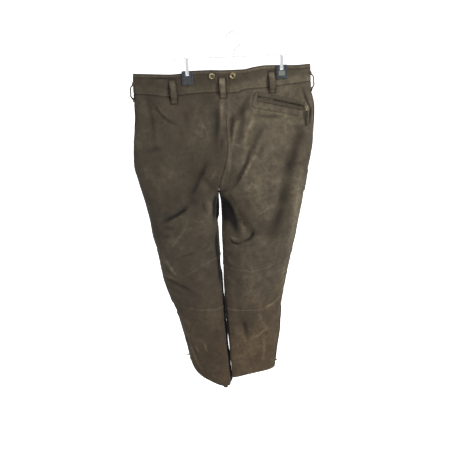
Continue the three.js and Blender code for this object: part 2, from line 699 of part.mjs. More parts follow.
// The side loops are sewn round the side seam and stand straight out from it, flat between the ends.
const SIDE_LOOP = {
  halfTurn: 0.0155,
  lift: LIFT * 2,
  stand: 6.4,
  left: { top: -18, bottom: -72 },
  right: { top: -8, bottom: -62 },
};
for (const one of Object.values(HALVES)) {
  const { top, bottom } = SIDE_LOOP[one.name];
  const sideways = new THREE.Vector3(one.name === "left" ? -1 : 1, 0, 0);
  const at = (u, v) => {
    const z = top + (bottom - top) * v;
    const turn = 0.5 + (u - 0.5) * 2 * SIDE_LOOP.halfTurn;
    const { point, normal } = spot(one, turn, z, SIDE_LOOP.lift);
    const seam = spot(one, 0.5, z, SIDE_LOOP.lift).point;
    const out = (loopLift(v) - LIFT) / LOOP.stand;
    point.x += (seam.x - point.x) * out;
    point.addScaledVector(sideways, out * SIDE_LOOP.stand);
    return { point, normal: normal.lerp(sideways, out).normalize() };
  };
  object.add(laid(`belt_loop_side_${one.name}`, 2, LOOP.cells, at, LOOP.thickness, LEATHER_LIGHT));
}

// ---- buttons: a shank and a dished head with a thick rim ----
const BUTTON = { radius: 8.2, height: 3.8, shank: 2.6, gap: 1.3, edge: 0.9, rim: 1.2, sides: 14 };
const BUTTONS = [
  { name: "brace_button_back_left", face: "back", x: -36, z: -10 },
  { name: "brace_button_back_right", face: "back", x: 21, z: -11 },
  { name: "brace_button_front_left_outer", face: "front", x: -132, z: -12 },
  { name: "brace_button_front_left_inner", face: "front", x: -60, z: -8 },
  { name: "brace_button_front_right_inner", face: "front", x: 74, z: -6 },
  { name: "brace_button_front_right_outer", face: "front", x: 126, z: -1 },
  { name: "waist_button", face: "front", x: 34, z: -24, scale: 1.15, lift: LIFT * 2 + BAND_WALL },
];
for (const { name, face, x, z, scale = 1, lift = LIFT } of BUTTONS) {
  const { radius, height, shank, gap, edge, rim, sides } = BUTTON;
  const profile = [
    [0, 0],
    [shank, 0],
    [shank, gap],
    [radius - edge, gap],
    [radius, gap + edge],
    [radius - rim, height],
    [shank + rim, height],
    [shank, gap + rim],
    [0, gap + edge],
  ].map(([r, h]) => new THREE.Vector2(r * scale, h));
  const { point, normal } = place(face, x, z, lift);
  const mesh = meshOf(name, new THREE.LatheGeometry(profile, sides), BRASS);
  mesh.quaternion.setFromUnitVectors(new THREE.Vector3(0, 1, 0), normal);
  mesh.position.copy(point);
  object.add(mesh);
}

// ---- waistband overlap and fly at the front ----
const OVERLAP = { from: 9.4, to: 52, margin: 1, columns: 4, rows: 3 };
function overlapAt(u, v) {
  const x = OVERLAP.from + (OVERLAP.to - OVERLAP.from) * u;
  const top = topRise(x) - OVERLAP.margin;
  const bottom = bandFoot(x) + OVERLAP.margin;
  const z = top + (bottom - top) * v;
  return spot(HALVES.right, turnAt(HALVES.right, "front", x, z), z, LIFT);
}
const { columns: overlapColumns, rows: overlapRows } = OVERLAP;
object.add(laid("waistband_overlap", overlapColumns, overlapRows, overlapAt, BAND_WALL, LEATHER));

// The fly flap's free edge is straight and curves in to the seam at the bottom.
const FLY = { width: 38, tip: 4, top: -60, bottom: -218, curveFrom: 0.72, columns: 4, rows: 14 };
function flyAt(u, v) {
  const z = FLY.top + (FLY.bottom - FLY.top) * v;
  const curved = Math.max(0, v - FLY.curveFrom) / (1 - FLY.curveFrom);
  const width = FLY.tip + (FLY.width - FLY.tip) * Math.sqrt(1 - curved * curved);
  const x = HALVES.left.read.centre(z) - SEAM * 2 - width * u;
  return spot(HALVES.left, turnAt(HALVES.left, "front", x, z), z, LIFT * 1.6);
}
object.add(laid("fly_flap", FLY.columns, FLY.rows, flyAt, WALL, LEATHER));

// ---- back pocket: two welts with a zip between them ----
const POCKET = {
  left: { x: 90, z: -70 },
  right: { x: 221, z: -101.5 },
  welt: { width: 8, thickness: 1.8 },
  zip: { width: 6.4, thickness: 1.2 },
  lift: LIFT * 1.8,
  cells: 18,
};
const pocketRun = new THREE.Vector2(POCKET.right.x - POCKET.left.x, POCKET.right.z - POCKET.left.z);
const pocketAcross = new THREE.Vector2(-pocketRun.y, pocketRun.x).normalize();
// A strip along the pocket, moved across it by offset.
function pocketStrip(name, offset, { width, thickness }, rows, look) {
  const move = (p) => ({ x: p.x + pocketAcross.x * offset, z: p.z + pocketAcross.y * offset });
  const cells = [POCKET.cells, rows];
  const [from, to] = [move(POCKET.left), move(POCKET.right)];
  return strip(name, "back", from, to, width, POCKET.lift, thickness, look, cells);
}
const weltOffset = (POCKET.welt.width + POCKET.zip.width) / 2 + SEAM;
object.add(pocketStrip("back_pocket_welt_upper", weltOffset, POCKET.welt, 2, LEATHER));
object.add(pocketStrip("back_pocket_welt_lower", -weltOffset, POCKET.welt, 2, LEATHER));
object.add(pocketStrip("back_pocket_zip_tape", 0, POCKET.zip, 1, TAPE));

// ---- zip sliders and their pulls ----
const SLIDER = { length: 9, width: 5.4, base: 2.2, post: 1.2, bar: 0.8, barHeight: 5.6, inset: 0.4 };
const PULL = { bore: 1.4, ring: 2.5, width: 3, plate: 1.5 };

// The staple over a slider's base, seen across its bar.
function stapleShape() {
  const { base, post, bar, barHeight, inset } = SLIDER;
  const reach = SLIDER.length / 2 - inset;
  const top = barHeight + bar;
  const foot = base / 2;
  const shape = new THREE.Shape();
  shape.moveTo(-reach, foot);
  shape.lineTo(reach, foot);
  shape.lineTo(reach - inset, top - bar);
  shape.lineTo(reach - inset - bar, top);
  shape.lineTo(-reach + inset + bar, top);
  shape.lineTo(-reach + inset, top - bar);
  const window = new THREE.Path();
  const side = reach - inset - post;
  const floor = foot + inset;
  window.moveTo(-side, floor);
  window.lineTo(-side, barHeight - bar);
  window.lineTo(side, barHeight - bar);
  window.lineTo(side, floor);
  shape.holes.push(window);
  return shape;
}

// A frame on the cloth: X along the slider's bar, Z away from the cloth, Y up the cloth.
function clothFrame(point, normal, bar) {
  const x = bar.clone().normalize();
  const y = new THREE.Vector3().crossVectors(normal, x).normalize();
  const z = new THREE.Vector3().crossVectors(x, y);
  const matrix = new THREE.Matrix4().makeBasis(x, y, z);
  const group = new THREE.Group();
  group.quaternion.setFromRotationMatrix(matrix);
  group.position.copy(point);
  return group;
}

function extrude(shape, depth, segments = 4) {
  return new THREE.ExtrudeGeometry(shape, { depth, bevelEnabled: false, curveSegments: segments });
}

// A slider is its base with the staple joined on; the pull hangs on the staple's bar.
function slider(name) {
  const staple = extrude(stapleShape(), SLIDER.bar * 2);
  staple.translate(0, 0, -SLIDER.bar);
  staple.rotateX(Math.PI / 2);
  const base = new THREE.BoxGeometry(SLIDER.length, SLIDER.width, SLIDER.base);
  base.translate(0, 0, SLIDER.base / 2);
  return meshOf(name, geometryOf(solidOf(base).add(solidOf(staple))), BRASS);
}

// The pull's side view: a ring round the bar and a short plate hanging below it.
function pullShape(plateLength) {
  const shape = new THREE.Shape();
  const halfPlate = PULL.plate / 2;
  const open = Math.asin(halfPlate / PULL.ring);
  shape.moveTo(halfPlate, -plateLength);
  shape.absarc(0, 0, PULL.ring, -Math.PI / 2 + open, (3 * Math.PI) / 2 - open, false);
  shape.lineTo(-halfPlate, -plateLength);
  const hole = new THREE.Path();
  hole.absarc(0, 0, PULL.bore, 0, 2 * Math.PI, true);
  shape.holes.push(hole);
  return shape;
}

// A thong below the pull's plate, seen from the front; its upper end is straight-sided.
function thongShape(plateLength, { top, bottom, length, head }) {
  const from = -plateLength - SEAM;
  const to = -plateLength - length;
  const shape = new THREE.Shape();
  shape.moveTo(-top / 2, from);
  shape.lineTo(-top / 2, from - head);
  shape.lineTo(-bottom / 2, to);
  shape.lineTo(bottom / 2, to);
  shape.lineTo(top / 2, from - head);
  shape.lineTo(top / 2, from);
  return shape;
}

// Hangs a pull from a slider: plateLength of brass, and a thong of leather below it if it has one.
function hangPull(group, name, plateLength, thong) {
  const swing = new THREE.Group();
  swing.position.set(0, 0, SLIDER.barHeight);
  const ring = extrude(pullShape(plateLength), PULL.width, 8);
  ring.translate(0, 0, -PULL.width / 2);
  ring.rotateY(Math.PI / 2);
  swing.add(meshOf(name, ring, BRASS));
  if (thong) {
    const leather = extrude(thongShape(plateLength, thong), thong.thickness);
    leather.translate(0, 0, -thong.thickness / 2);
    swing.add(meshOf(thong.name, leather, LEATHER));
  }
  group.add(swing);
}

// A slider and its pull on the cloth at a spot, upright, with the bar across.
function addZip({ point, normal }, names, plateLength, thong) {
  normal.setZ(0).normalize();
  const bar = new THREE.Vector3().crossVectors(new THREE.Vector3(0, 0, 1), normal);
  const group = clothFrame(point, normal, bar);
  group.add(slider(names.slider));
  hangPull(group, names.pull, plateLength, thong);
  object.add(group);
}

const POCKET_SLIDER = { x: 226.6, z: -103.5, lift: 2.6, plateLength: 9 };
const THONG = { name: "back_pocket_thong", top: 8.5, bottom: 5.5, length: 43, head: 6, thickness: 2.2 };
addZip(
  place("back", POCKET_SLIDER.x, POCKET_SLIDER.z, POCKET_SLIDER.lift),
  { slider: "back_pocket_slider", pull: "back_pocket_pull" },
  POCKET_SLIDER.plateLength,
  THONG,
);

// ---- side pockets, tool pocket, hem zips and hem tab ----
const EDGE = 1.8; // thickness of a folded leather edge
const SIDE_POCKET = {
  turns: [0.503, 0.515, 0.528],
  gape: 2.2,
  rows: 12,
  left: [-78, -190],
  right: [-68, -180],
};
const TOOL_POCKET = { heights: [-286, -350], turns: [0.478, 0.497], rows: 8 };
const HEM_ZIP = {
  turns: [0.484, 0.492, 0.5, 0.506],
  sliderTurn: 0.494,
  sliderLift: 2.9,
  above: 4,
  thickness: 1.2,
  plateLength: 17,
  rows: 14,
  left: { top: -762, slider: -948 },
  right: { top: -748, slider: -966 },
};

// The pocket's edge stands away from the side seam most at its middle.
function sidePocket(one) {
  const gape = (u, v) => LIFT + SIDE_POCKET.gape * (1 - u) * Math.sin(Math.PI * v);
  const { turns, rows } = SIDE_POCKET;
  const name = `side_pocket_edge_${one.name}`;
  return sideStrip(name, one, SIDE_POCKET[one.name], turns, gape, EDGE, LEATHER_LIGHT, rows);
}

function hemZipTape(one) {
  const { turns, sliderTurn, above, thickness, rows } = HEM_ZIP;
  const heights = [HEM_ZIP[one.name].top, one.hem(sliderTurn) + above];
  const name = `hem_zip_tape_${one.name}`;
  return sideStrip(name, one, heights, turns, () => LIFT * 1.6, thickness, TAPE, rows);
}

for (const one of Object.values(HALVES)) {
  object.add(sidePocket(one));
  object.add(hemZipTape(one));
  const names = { slider: `hem_zip_slider_${one.name}`, pull: `hem_zip_pull_${one.name}` };
  const height = HEM_ZIP[one.name].slider;
  addZip(spot(one, HEM_ZIP.sliderTurn, height, HEM_ZIP.sliderLift), names, HEM_ZIP.plateLength);
}
const { heights: toolHeights, turns: toolTurns, rows: toolRows } = TOOL_POCKET;
const toolWelt = [HALVES.right, toolHeights, toolTurns, () => LIFT, EDGE, LEATHER_LIGHT, toolRows];
object.add(sideStrip("tool_pocket_welt", ...toolWelt));

// A tab sewn to the inside of the left hem, hanging a little below it.
const HEM_TAB = { turn: 0.075, halfTurn: 0.023, above: 15, below: 8, thickness: 1.6 };
function hemTab(one) {
  const { turn, halfTurn, above, below, thickness } = HEM_TAB;
  const lift = -WALL - LIFT - thickness;
  const turns = [-1, -0.5, 0, 0.5, 1].map((k) => turn + k * halfTurn);
  const heights = [one.hem(turn) + above, one.hem(turn) - below];
  return sideStrip("hem_tab", one, heights, turns, () => lift, thickness, LEATHER_DARK, 3);
}
object.add(hemTab(HALVES.left));

// ---- hanger ----
const hookCentre = HANGER.rodZ + HANGER.neck + HANGER.hookR;
const hookTop = hookCentre + HANGER.hookR - HANGER.wireR; // height of the hook's inside top
const HOOK = { bendZ: 12, shoulder: { x: 2.5, z: 20 }, fromDegrees: -45, toDegrees: 205, arcs: 10 };

function hangerWire() {
  const rod = new THREE.CylinderGeometry(HANGER.rodR, HANGER.rodR, HANGER.halfLength * 2, 12);
  rod.rotateZ(Math.PI / 2);
  rod.translate(HANGER.x, 0, HANGER.rodZ);
  const bottom = HANGER.rodZ;
  const points = [
    [0, bottom],
    [0, bottom + HOOK.bendZ],
    [HOOK.shoulder.x, bottom + HOOK.shoulder.z],
  ];
  for (const degrees of spaced(HOOK.fromDegrees, HOOK.toDegrees, HOOK.arcs)) {
    const angle = THREE.MathUtils.degToRad(degrees);
    const x = HANGER.hookR * Math.cos(angle);
    points.push([x, hookCentre + HANGER.hookR * Math.sin(angle)]);
  }
  const line = points.map(([x, z]) => new THREE.Vector3(HANGER.x + x, 0, z));
  const round = new THREE.Shape();
  round.absarc(0, 0, HANGER.wireR, 0, 2 * Math.PI, false);
  const hook = new THREE.ExtrudeGeometry(round, {
    extrudePath: new THREE.CatmullRomCurve3(line),
    steps: 30,
    curveSegments: 5,
    bevelEnabled: false,
  });
  return meshOf("hanger_wire", geometryOf(solidOf(rod).add(solidOf(hook))), STEEL);
}
object.add(hangerWire());

// A clip pad, seen from the front: a plate with a notch in its top edge for the strap.
function clipPad(name, { x, rise }, side) {
  const { corner, shoulder, notchDepth, pad } = CLIP;
  const top = CLIP.top + rise;
  const bottom = CLIP.bottom + rise;
  const w = CLIP.width / 2;
  const n = CLIP.notchWidth / 2;
  const shape = new THREE.Shape();
  shape.moveTo(-w, bottom + corner);
  shape.lineTo(-w + corner, bottom);
  shape.lineTo(w - corner, bottom);
  shape.lineTo(w, bottom + corner);
  shape.lineTo(w, top - shoulder);
  shape.lineTo(w - shoulder, top);
  shape.lineTo(n, top);
  shape.lineTo(n, top - notchDepth);
  shape.lineTo(-n, top - notchDepth);
  shape.lineTo(-n, top);
  shape.lineTo(-w + shoulder, top);
  shape.lineTo(-w, top - shoulder);
  const geometry = extrude(shape, pad);
  geometry.rotateX(Math.PI / 2);
  const inside = PINCH.y + SEAM;
  geometry.translate(x, side < 0 ? -inside : inside + pad, 0);
  return meshOf(name, geometry, PLASTIC);
}

// The steel strap hangs on the rod and reaches down into the notches of both pads.
function clipStrap(name, { x, rise }) {
  const inner = PINCH.y + 2 * SEAM;
  const outer = inner + CLIP.strap;
  const end = CLIP.top + rise - CLIP.notchDepth + SEAM;
  const centre = HANGER.rodZ + HANGER.rodR + SEAM - inner;
  const shape = new THREE.Shape();
  shape.moveTo(-outer, end);
  shape.lineTo(-inner, end);
  shape.lineTo(-inner, centre);
  shape.absarc(0, centre, inner, Math.PI, 0, true);
  shape.lineTo(inner, end);
  shape.lineTo(outer, end);
  shape.lineTo(outer, centre);
  shape.absarc(0, centre, outer, 0, Math.PI, false);
  const width = CLIP.notchWidth - 2 * SEAM;
  const geometry = extrude(shape, width, 10);
  geometry.translate(0, 0, -width / 2);
  geometry.rotateX(Math.PI / 2);
  geometry.rotateZ(Math.PI / 2);
  geometry.translate(x, 0, 0);
  return meshOf(name, geometry, STEEL);
}
for (const clip of CLIPS) {
  object.add(clipPad(`hanger_pad_back_${clip.name}`, clip, -1));
  object.add(clipPad(`hanger_pad_front_${clip.name}`, clip, 1));
  object.add(clipStrap(`hanger_strap_${clip.name}`, clip));
}

// The origin is the inside top of the hook, where the hanger rests on its rail.
object.position.set(-HANGER.x, 0, -hookTop);
const trousers = new THREE.Group();
trousers.add(object);

export default trousers;
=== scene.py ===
"""Hunting trousers of nubuck leather on a clip hanger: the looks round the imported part."""
import json
import math

import bpy
import numpy as np
from mathutils import Matrix, Vector
from mathutils.geometry import tessellate_polygon


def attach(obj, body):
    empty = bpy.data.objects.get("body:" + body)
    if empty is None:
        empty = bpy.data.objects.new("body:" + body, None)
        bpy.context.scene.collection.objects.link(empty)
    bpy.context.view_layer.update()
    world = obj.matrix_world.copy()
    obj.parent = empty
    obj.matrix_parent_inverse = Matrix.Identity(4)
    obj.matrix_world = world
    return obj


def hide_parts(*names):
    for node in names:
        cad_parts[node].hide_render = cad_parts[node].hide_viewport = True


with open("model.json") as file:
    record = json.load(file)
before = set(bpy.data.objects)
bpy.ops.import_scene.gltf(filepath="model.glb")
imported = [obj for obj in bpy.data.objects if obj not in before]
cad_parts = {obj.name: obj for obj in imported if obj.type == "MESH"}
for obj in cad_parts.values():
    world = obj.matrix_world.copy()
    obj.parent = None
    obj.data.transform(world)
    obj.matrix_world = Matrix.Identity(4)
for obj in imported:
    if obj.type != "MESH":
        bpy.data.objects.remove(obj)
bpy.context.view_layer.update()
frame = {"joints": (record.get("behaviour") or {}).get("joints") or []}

# Lengths are millimetres counted from the waistband's top edge; ORIGIN moves them to the hook.
MM = 0.001
ORIGIN = np.array([-27.0, 0.0, -100.2])
WALL = 2.0
BAND_WALL = 2.8
# how far a laid piece lies off the leather
LIFT = 0.45
# the height at which x is read for the tables of the band's edges
BAND_MIDDLE = -28.0
CROTCH_X = -30.5
CROTCH_Z = -340.0
# below FORK_TOP the pelvis parts into two legs, first within FORK_SPREAD of a turn from the inseam
FORK_TOP = -225.0
FORK_SPREAD = 0.07
# powers of the rounded sections
PELVIS_POWER = 2.7
LEG_POWER = 2.25
# where the left front's edge curls in beside the inseam, in turns
TUCK = dict(turn=0.92, spread=0.05, edge=0.03)
# the clips' places, and how the cloth flattens round and below them
CLIP_X = (-104.0, 158.0)
PINCH = dict(y=3.3, half_width=16.0, spread=42.0, start=-36.0, fade=85.0)

# ---- sizes of what lies on the panels, in mm or in turns ----
LOOP = dict(width=18.0, thickness=2.2, stand=8.2, sewn=0.07, bend=0.24)
SIDE_LOOP = dict(half_turn=0.0155, lift=LIFT * 2, stand=6.4, left=(-18.0, -72.0), right=(-8.0, -62.0))
OVERLAP = dict(start=9.4, end=52.0, margin=1.0, length=55.0)
FLY = dict(width=38.0, tip=4.0, top=-60.0, bottom=-218.0, curve_from=0.72)
POCKET_LEFT = np.array([90.0, -70.0])
POCKET_RIGHT = np.array([221.0, -101.5])
BAG = dict(start=-12.0, end=132.0, above=12.0, below=31.0, corner=7.0, groove=2.4)
WELT = dict(width=9.2, thickness=1.8, offset=6.9)
ZIP = dict(width=6.4, thickness=1.2)
SIDE_POCKET = dict(turns=(0.503, 0.528), width=15.0, gape=2.2, left=(-78.0, -190.0), right=(-68.0, -180.0))
TOOL_POCKET = dict(turns=(0.478, 0.497), size=(11.0, 64.0), heights=(-286.0, -350.0))
HEM_ZIP = dict(turns=(0.484, 0.506), width=10.0, slider_turn=0.494, above=4.0, left=-762.0, right=-748.0)
HEM_TAB = dict(turn=0.075, half_turn=0.023, above=15.0, below=8.0, width=16.0, thickness=1.6)
STITCH = dict(pitch=3.7, length=2.7, radius=0.42)
FINE_STITCH = dict(pitch=3.2, length=2.3, radius=0.36)
# how far in lines of stitches run: on laid pieces, below the band's top, above its seam, below the
# cross seams, above the hem
STITCH_INSET = 2.4
BAND_STITCHES = (4.5, 4.0)
SEAM_STITCHES = (2.2, 7.4)
HEM_DEPTH = 24.0
# how far threads lie off the leather
THREAD_LIFT = 0.05
# raised laps: width below the cross seams, and width and height beside the right half's centre seam
LAP = dict(cross=9.0, centre=8.5, centre_height=0.7)
TOOTH = dict(long=0.95, wide=0.34, high=0.9, pitch=1.9)
BUTTON = dict(radius=8.2, height=3.8, shank=2.6, gap=1.3)
SLIDER = dict(length=9.0, width=5.4, base=2.2, bar=0.8, bar_height=5.6, inset=0.4)
PULL = dict(bore=1.4, ring=2.5, width=3.0, plate=1.5)
THONG = dict(top=8.5, bottom=5.5, length=43.0, head=6.0, thickness=2.2, start=9.0)
HANGER = dict(x=27.0, rod_z=38.0, rod_r=2.0, half=172.0, wire_r=1.8, hook_r=21.0, neck=22.0)
CLIP = dict(width=31.0, top=9.0, bottom=-28.0, pad=3.6, notch_width=10.0, notch_depth=13.0, strap=1.3)
# the gap between hard pieces that touch
GAP = 0.3
# clips: side, x, how much higher than the table of sizes says
CLIPS = (("left", CLIP_X[0], -3.0), ("right", CLIP_X[1], 3.0))

# ---- the garment's tables: z, outer, outerY, back, front, centre, inner, innerY ----
NONE = math.nan
LEFT_SECTIONS = [
    (20, -254, 0, 11, 11, 10, NONE, NONE),
    (-20, -258, 0, 13, 13, 10, NONE, NONE),
    (-54, NONE, NONE, NONE, NONE, 8.5, NONE, NONE),
    (-60, -260, 0, 16, 15, 4, NONE, NONE),
    (-75, NONE, NONE, NONE, NONE, 0, NONE, NONE),
    (-106, -259, 0, 24, 22, -2, NONE, NONE),
    (-150, -264, 0, 33, 31, -1, NONE, NONE),
    (-200, -275, 0, 43, 40, 0, NONE, NONE),
    (-250, -279, 0, 51, 47, -8, NONE, NONE),
    (-300, -271, 0, 58, 53, -22, -30.9, 0),
    (-340, -262, 0, 62, 58, -30.5, -30.9, 0),
    (-375, -255, 0, 65, 61, -30.5, -38, 0),
    (-430, -248, 0, 66, 62, -30.5, -44, 0),
    (-470, -246, 0, 64, 60, -30.5, -37, 0),
    (-520, -236, 0, 60, 57, -30.5, -36, -2),
    (-575, -231, 0, 55, 54, -30.5, -36, -4),
    (-632, -225, 2, 49, 50, -30.5, -35, -8),
    (-692, -212, 6, 43, 47, -30.5, -35, -13),
    (-754, -193, 10, 38, 44, -30.5, -34, -19),
    (-818, -180, 15, 34, 42, -30.5, -31, -25),
    (-883, -169, 20, 31, 40, -30.5, -28, -30),
    (-950, -161, 25, 29, 38, -30.5, -24, -35),
    (-1010, -154, 28, 28, 36, -30.5, -21, -38),
    (-1060, -149, 29, 28, 36, -30.5, -19, -39),
]
RIGHT_SECTIONS = [
    (20, 238, 0, 11, 11, 10, NONE, NONE),
    (-20, 240, 0, 13, 13, 10, NONE, NONE),
    (-54, NONE, NONE, NONE, NONE, 8.5, NONE, NONE),
    (-60, 243, 0, 16, 15, 4, NONE, NONE),
    (-75, NONE, NONE, NONE, NONE, 0, NONE, NONE),
    (-106, 250, 0, 24, 22, -2, NONE, NONE),
    (-150, 250, 0, 33, 31, -1, NONE, NONE),
    (-200, 250, 0, 43, 40, 0, NONE, NONE),
    (-250, 244, 0, 51, 47, -8, NONE, NONE),
    (-300, 235, 0, 58, 53, -22, -30.1, 0),
    (-340, 228, 0, 62, 58, -30.5, -30.1, 0),
    (-375, 223, 0, 65, 61, -30.5, -27, 0),
    (-430, 214, 0, 66, 62, -30.5, -26, 0),
    (-483, 206, 0, 62, 60, -30.5, -28, -2),
    (-537, 195, 0, 57, 57, -30.5, -28, -5),
    (-593, 184, 0, 51, 54, -30.5, -28, -9),
    (-651, 175, 0, 44, 51, -30.5, -29, -13),
    (-710, 165, 0, 36, 49, -30.5, -28, -18),
    (-771, 157, 0, 29, 47, -30.5, -26, -23),
    (-834, 155, 0, 23, 46, -30.5, -23, -27),
    (-898, 147, 0, 18, 45, -30.5, -19, -30),
    (-965, 139, 0, 15, 44, -30.5, -16, -32),
    (-1010, 133, 0, 14, 43, -30.5, -14, -33),
    (-1060, 128, 0, 14, 43, -30.5, -12, -33),
]
TOP_EDGE = [
    (-262, 5), (-200, 1), (-150, -1.5), (-115, 1), (-88, 6), (-50, 6), (0, 4),
    (50, 4), (85, 9.5), (115, 12.5), (160, 11.5), (200, 10), (245, 12),
]
# how far the left front's inner edge reaches past the inseam: z, reach
LEFT_TUCK = [
    (-340, 0), (-375, 16), (-425, 20), (-450, 8), (-480, 2), (-575, 2), (-632, 11), (-692, 13), (-1060, 13),
]
BAND_FOOT = [
    (-256, -49), (-200, -54), (-158, -60), (-125, -57), (-22, -53), (9, -56), (33, -55), (60, -47.5),
    (115, -46), (143, -43), (209, -37), (240, -34),
]
SEAMS = {
    "left": dict(
        knee=[(0, -545), (0.08, -548), (0.18, -568), (0.31, -596), (0.42, -545), (0.5, -522), (0.75, -560),
              (1, -545)],
        calf=[(0, -729), (0.25, -726), (0.5, -708), (0.75, -724), (1, -729)],
        hem=[(0, -1030), (0.1, -1034), (0.25, -1025), (0.36, -1016), (0.43, -1003), (0.5, -976), (0.6, -1000),
             (0.75, -1016), (1, -1030)],
    ),
    "right": dict(
        knee=[(0, -574), (0.21, -589), (0.33, -573), (0.43, -548), (0.5, -536), (0.75, -572), (1, -574)],
        calf=[(0, -729), (0.28, -738), (0.4, -716), (0.5, -686), (0.75, -722), (1, -729)],
        hem=[(0, -1010), (0.12, -1004), (0.3, -1000), (0.5, -1000), (0.75, -1006), (1, -1010)],
    ),
}
# the largest folds: x1, z1, x2, z2, width, height
BACK_FOLDS = [
    (76, -70, 38, -108, 13, -4),
    (38, -108, 2, -156, 14, -5),
    (2, -156, -2, -235, 13, -4),
    (-211, -75, -190, -165, 18, -5),
    (199, -140, 177, -275, 20, -9),
    (177, -275, 157, -363, 22, -13),
    (157, -363, 103, -473, 22, -10),
    (70, -235, 17, -312, 15, -6),
    (-5, -375, 28, -427, 20, -13),
    (28, -427, 54, -466, 17, -11),
    (-73, -255, -98, -328, 14, -6),
    (-110, -364, -198, -410, 15, -7),
    (-152, -820, -120, -935, 14, 5),
    (28, -795, 43, -835, 15, -6),
]
FRONT_FOLDS = [
    (-70, -150, -160, -290, 20, -8),
    (60, -150, 140, -300, 20, -8),
    (-140, -330, -160, -500, 22, -10),
    (90, -340, 110, -520, 22, -10),
    (-60, -380, -110, -450, 15, -7),
    (0, -380, 50, -450, 15, -7),
    (-180, -640, -90, -660, 16, -6),
    (10, -650, 100, -640, 16, -6),
    (-120, -800, -90, -920, 15, 5),
]
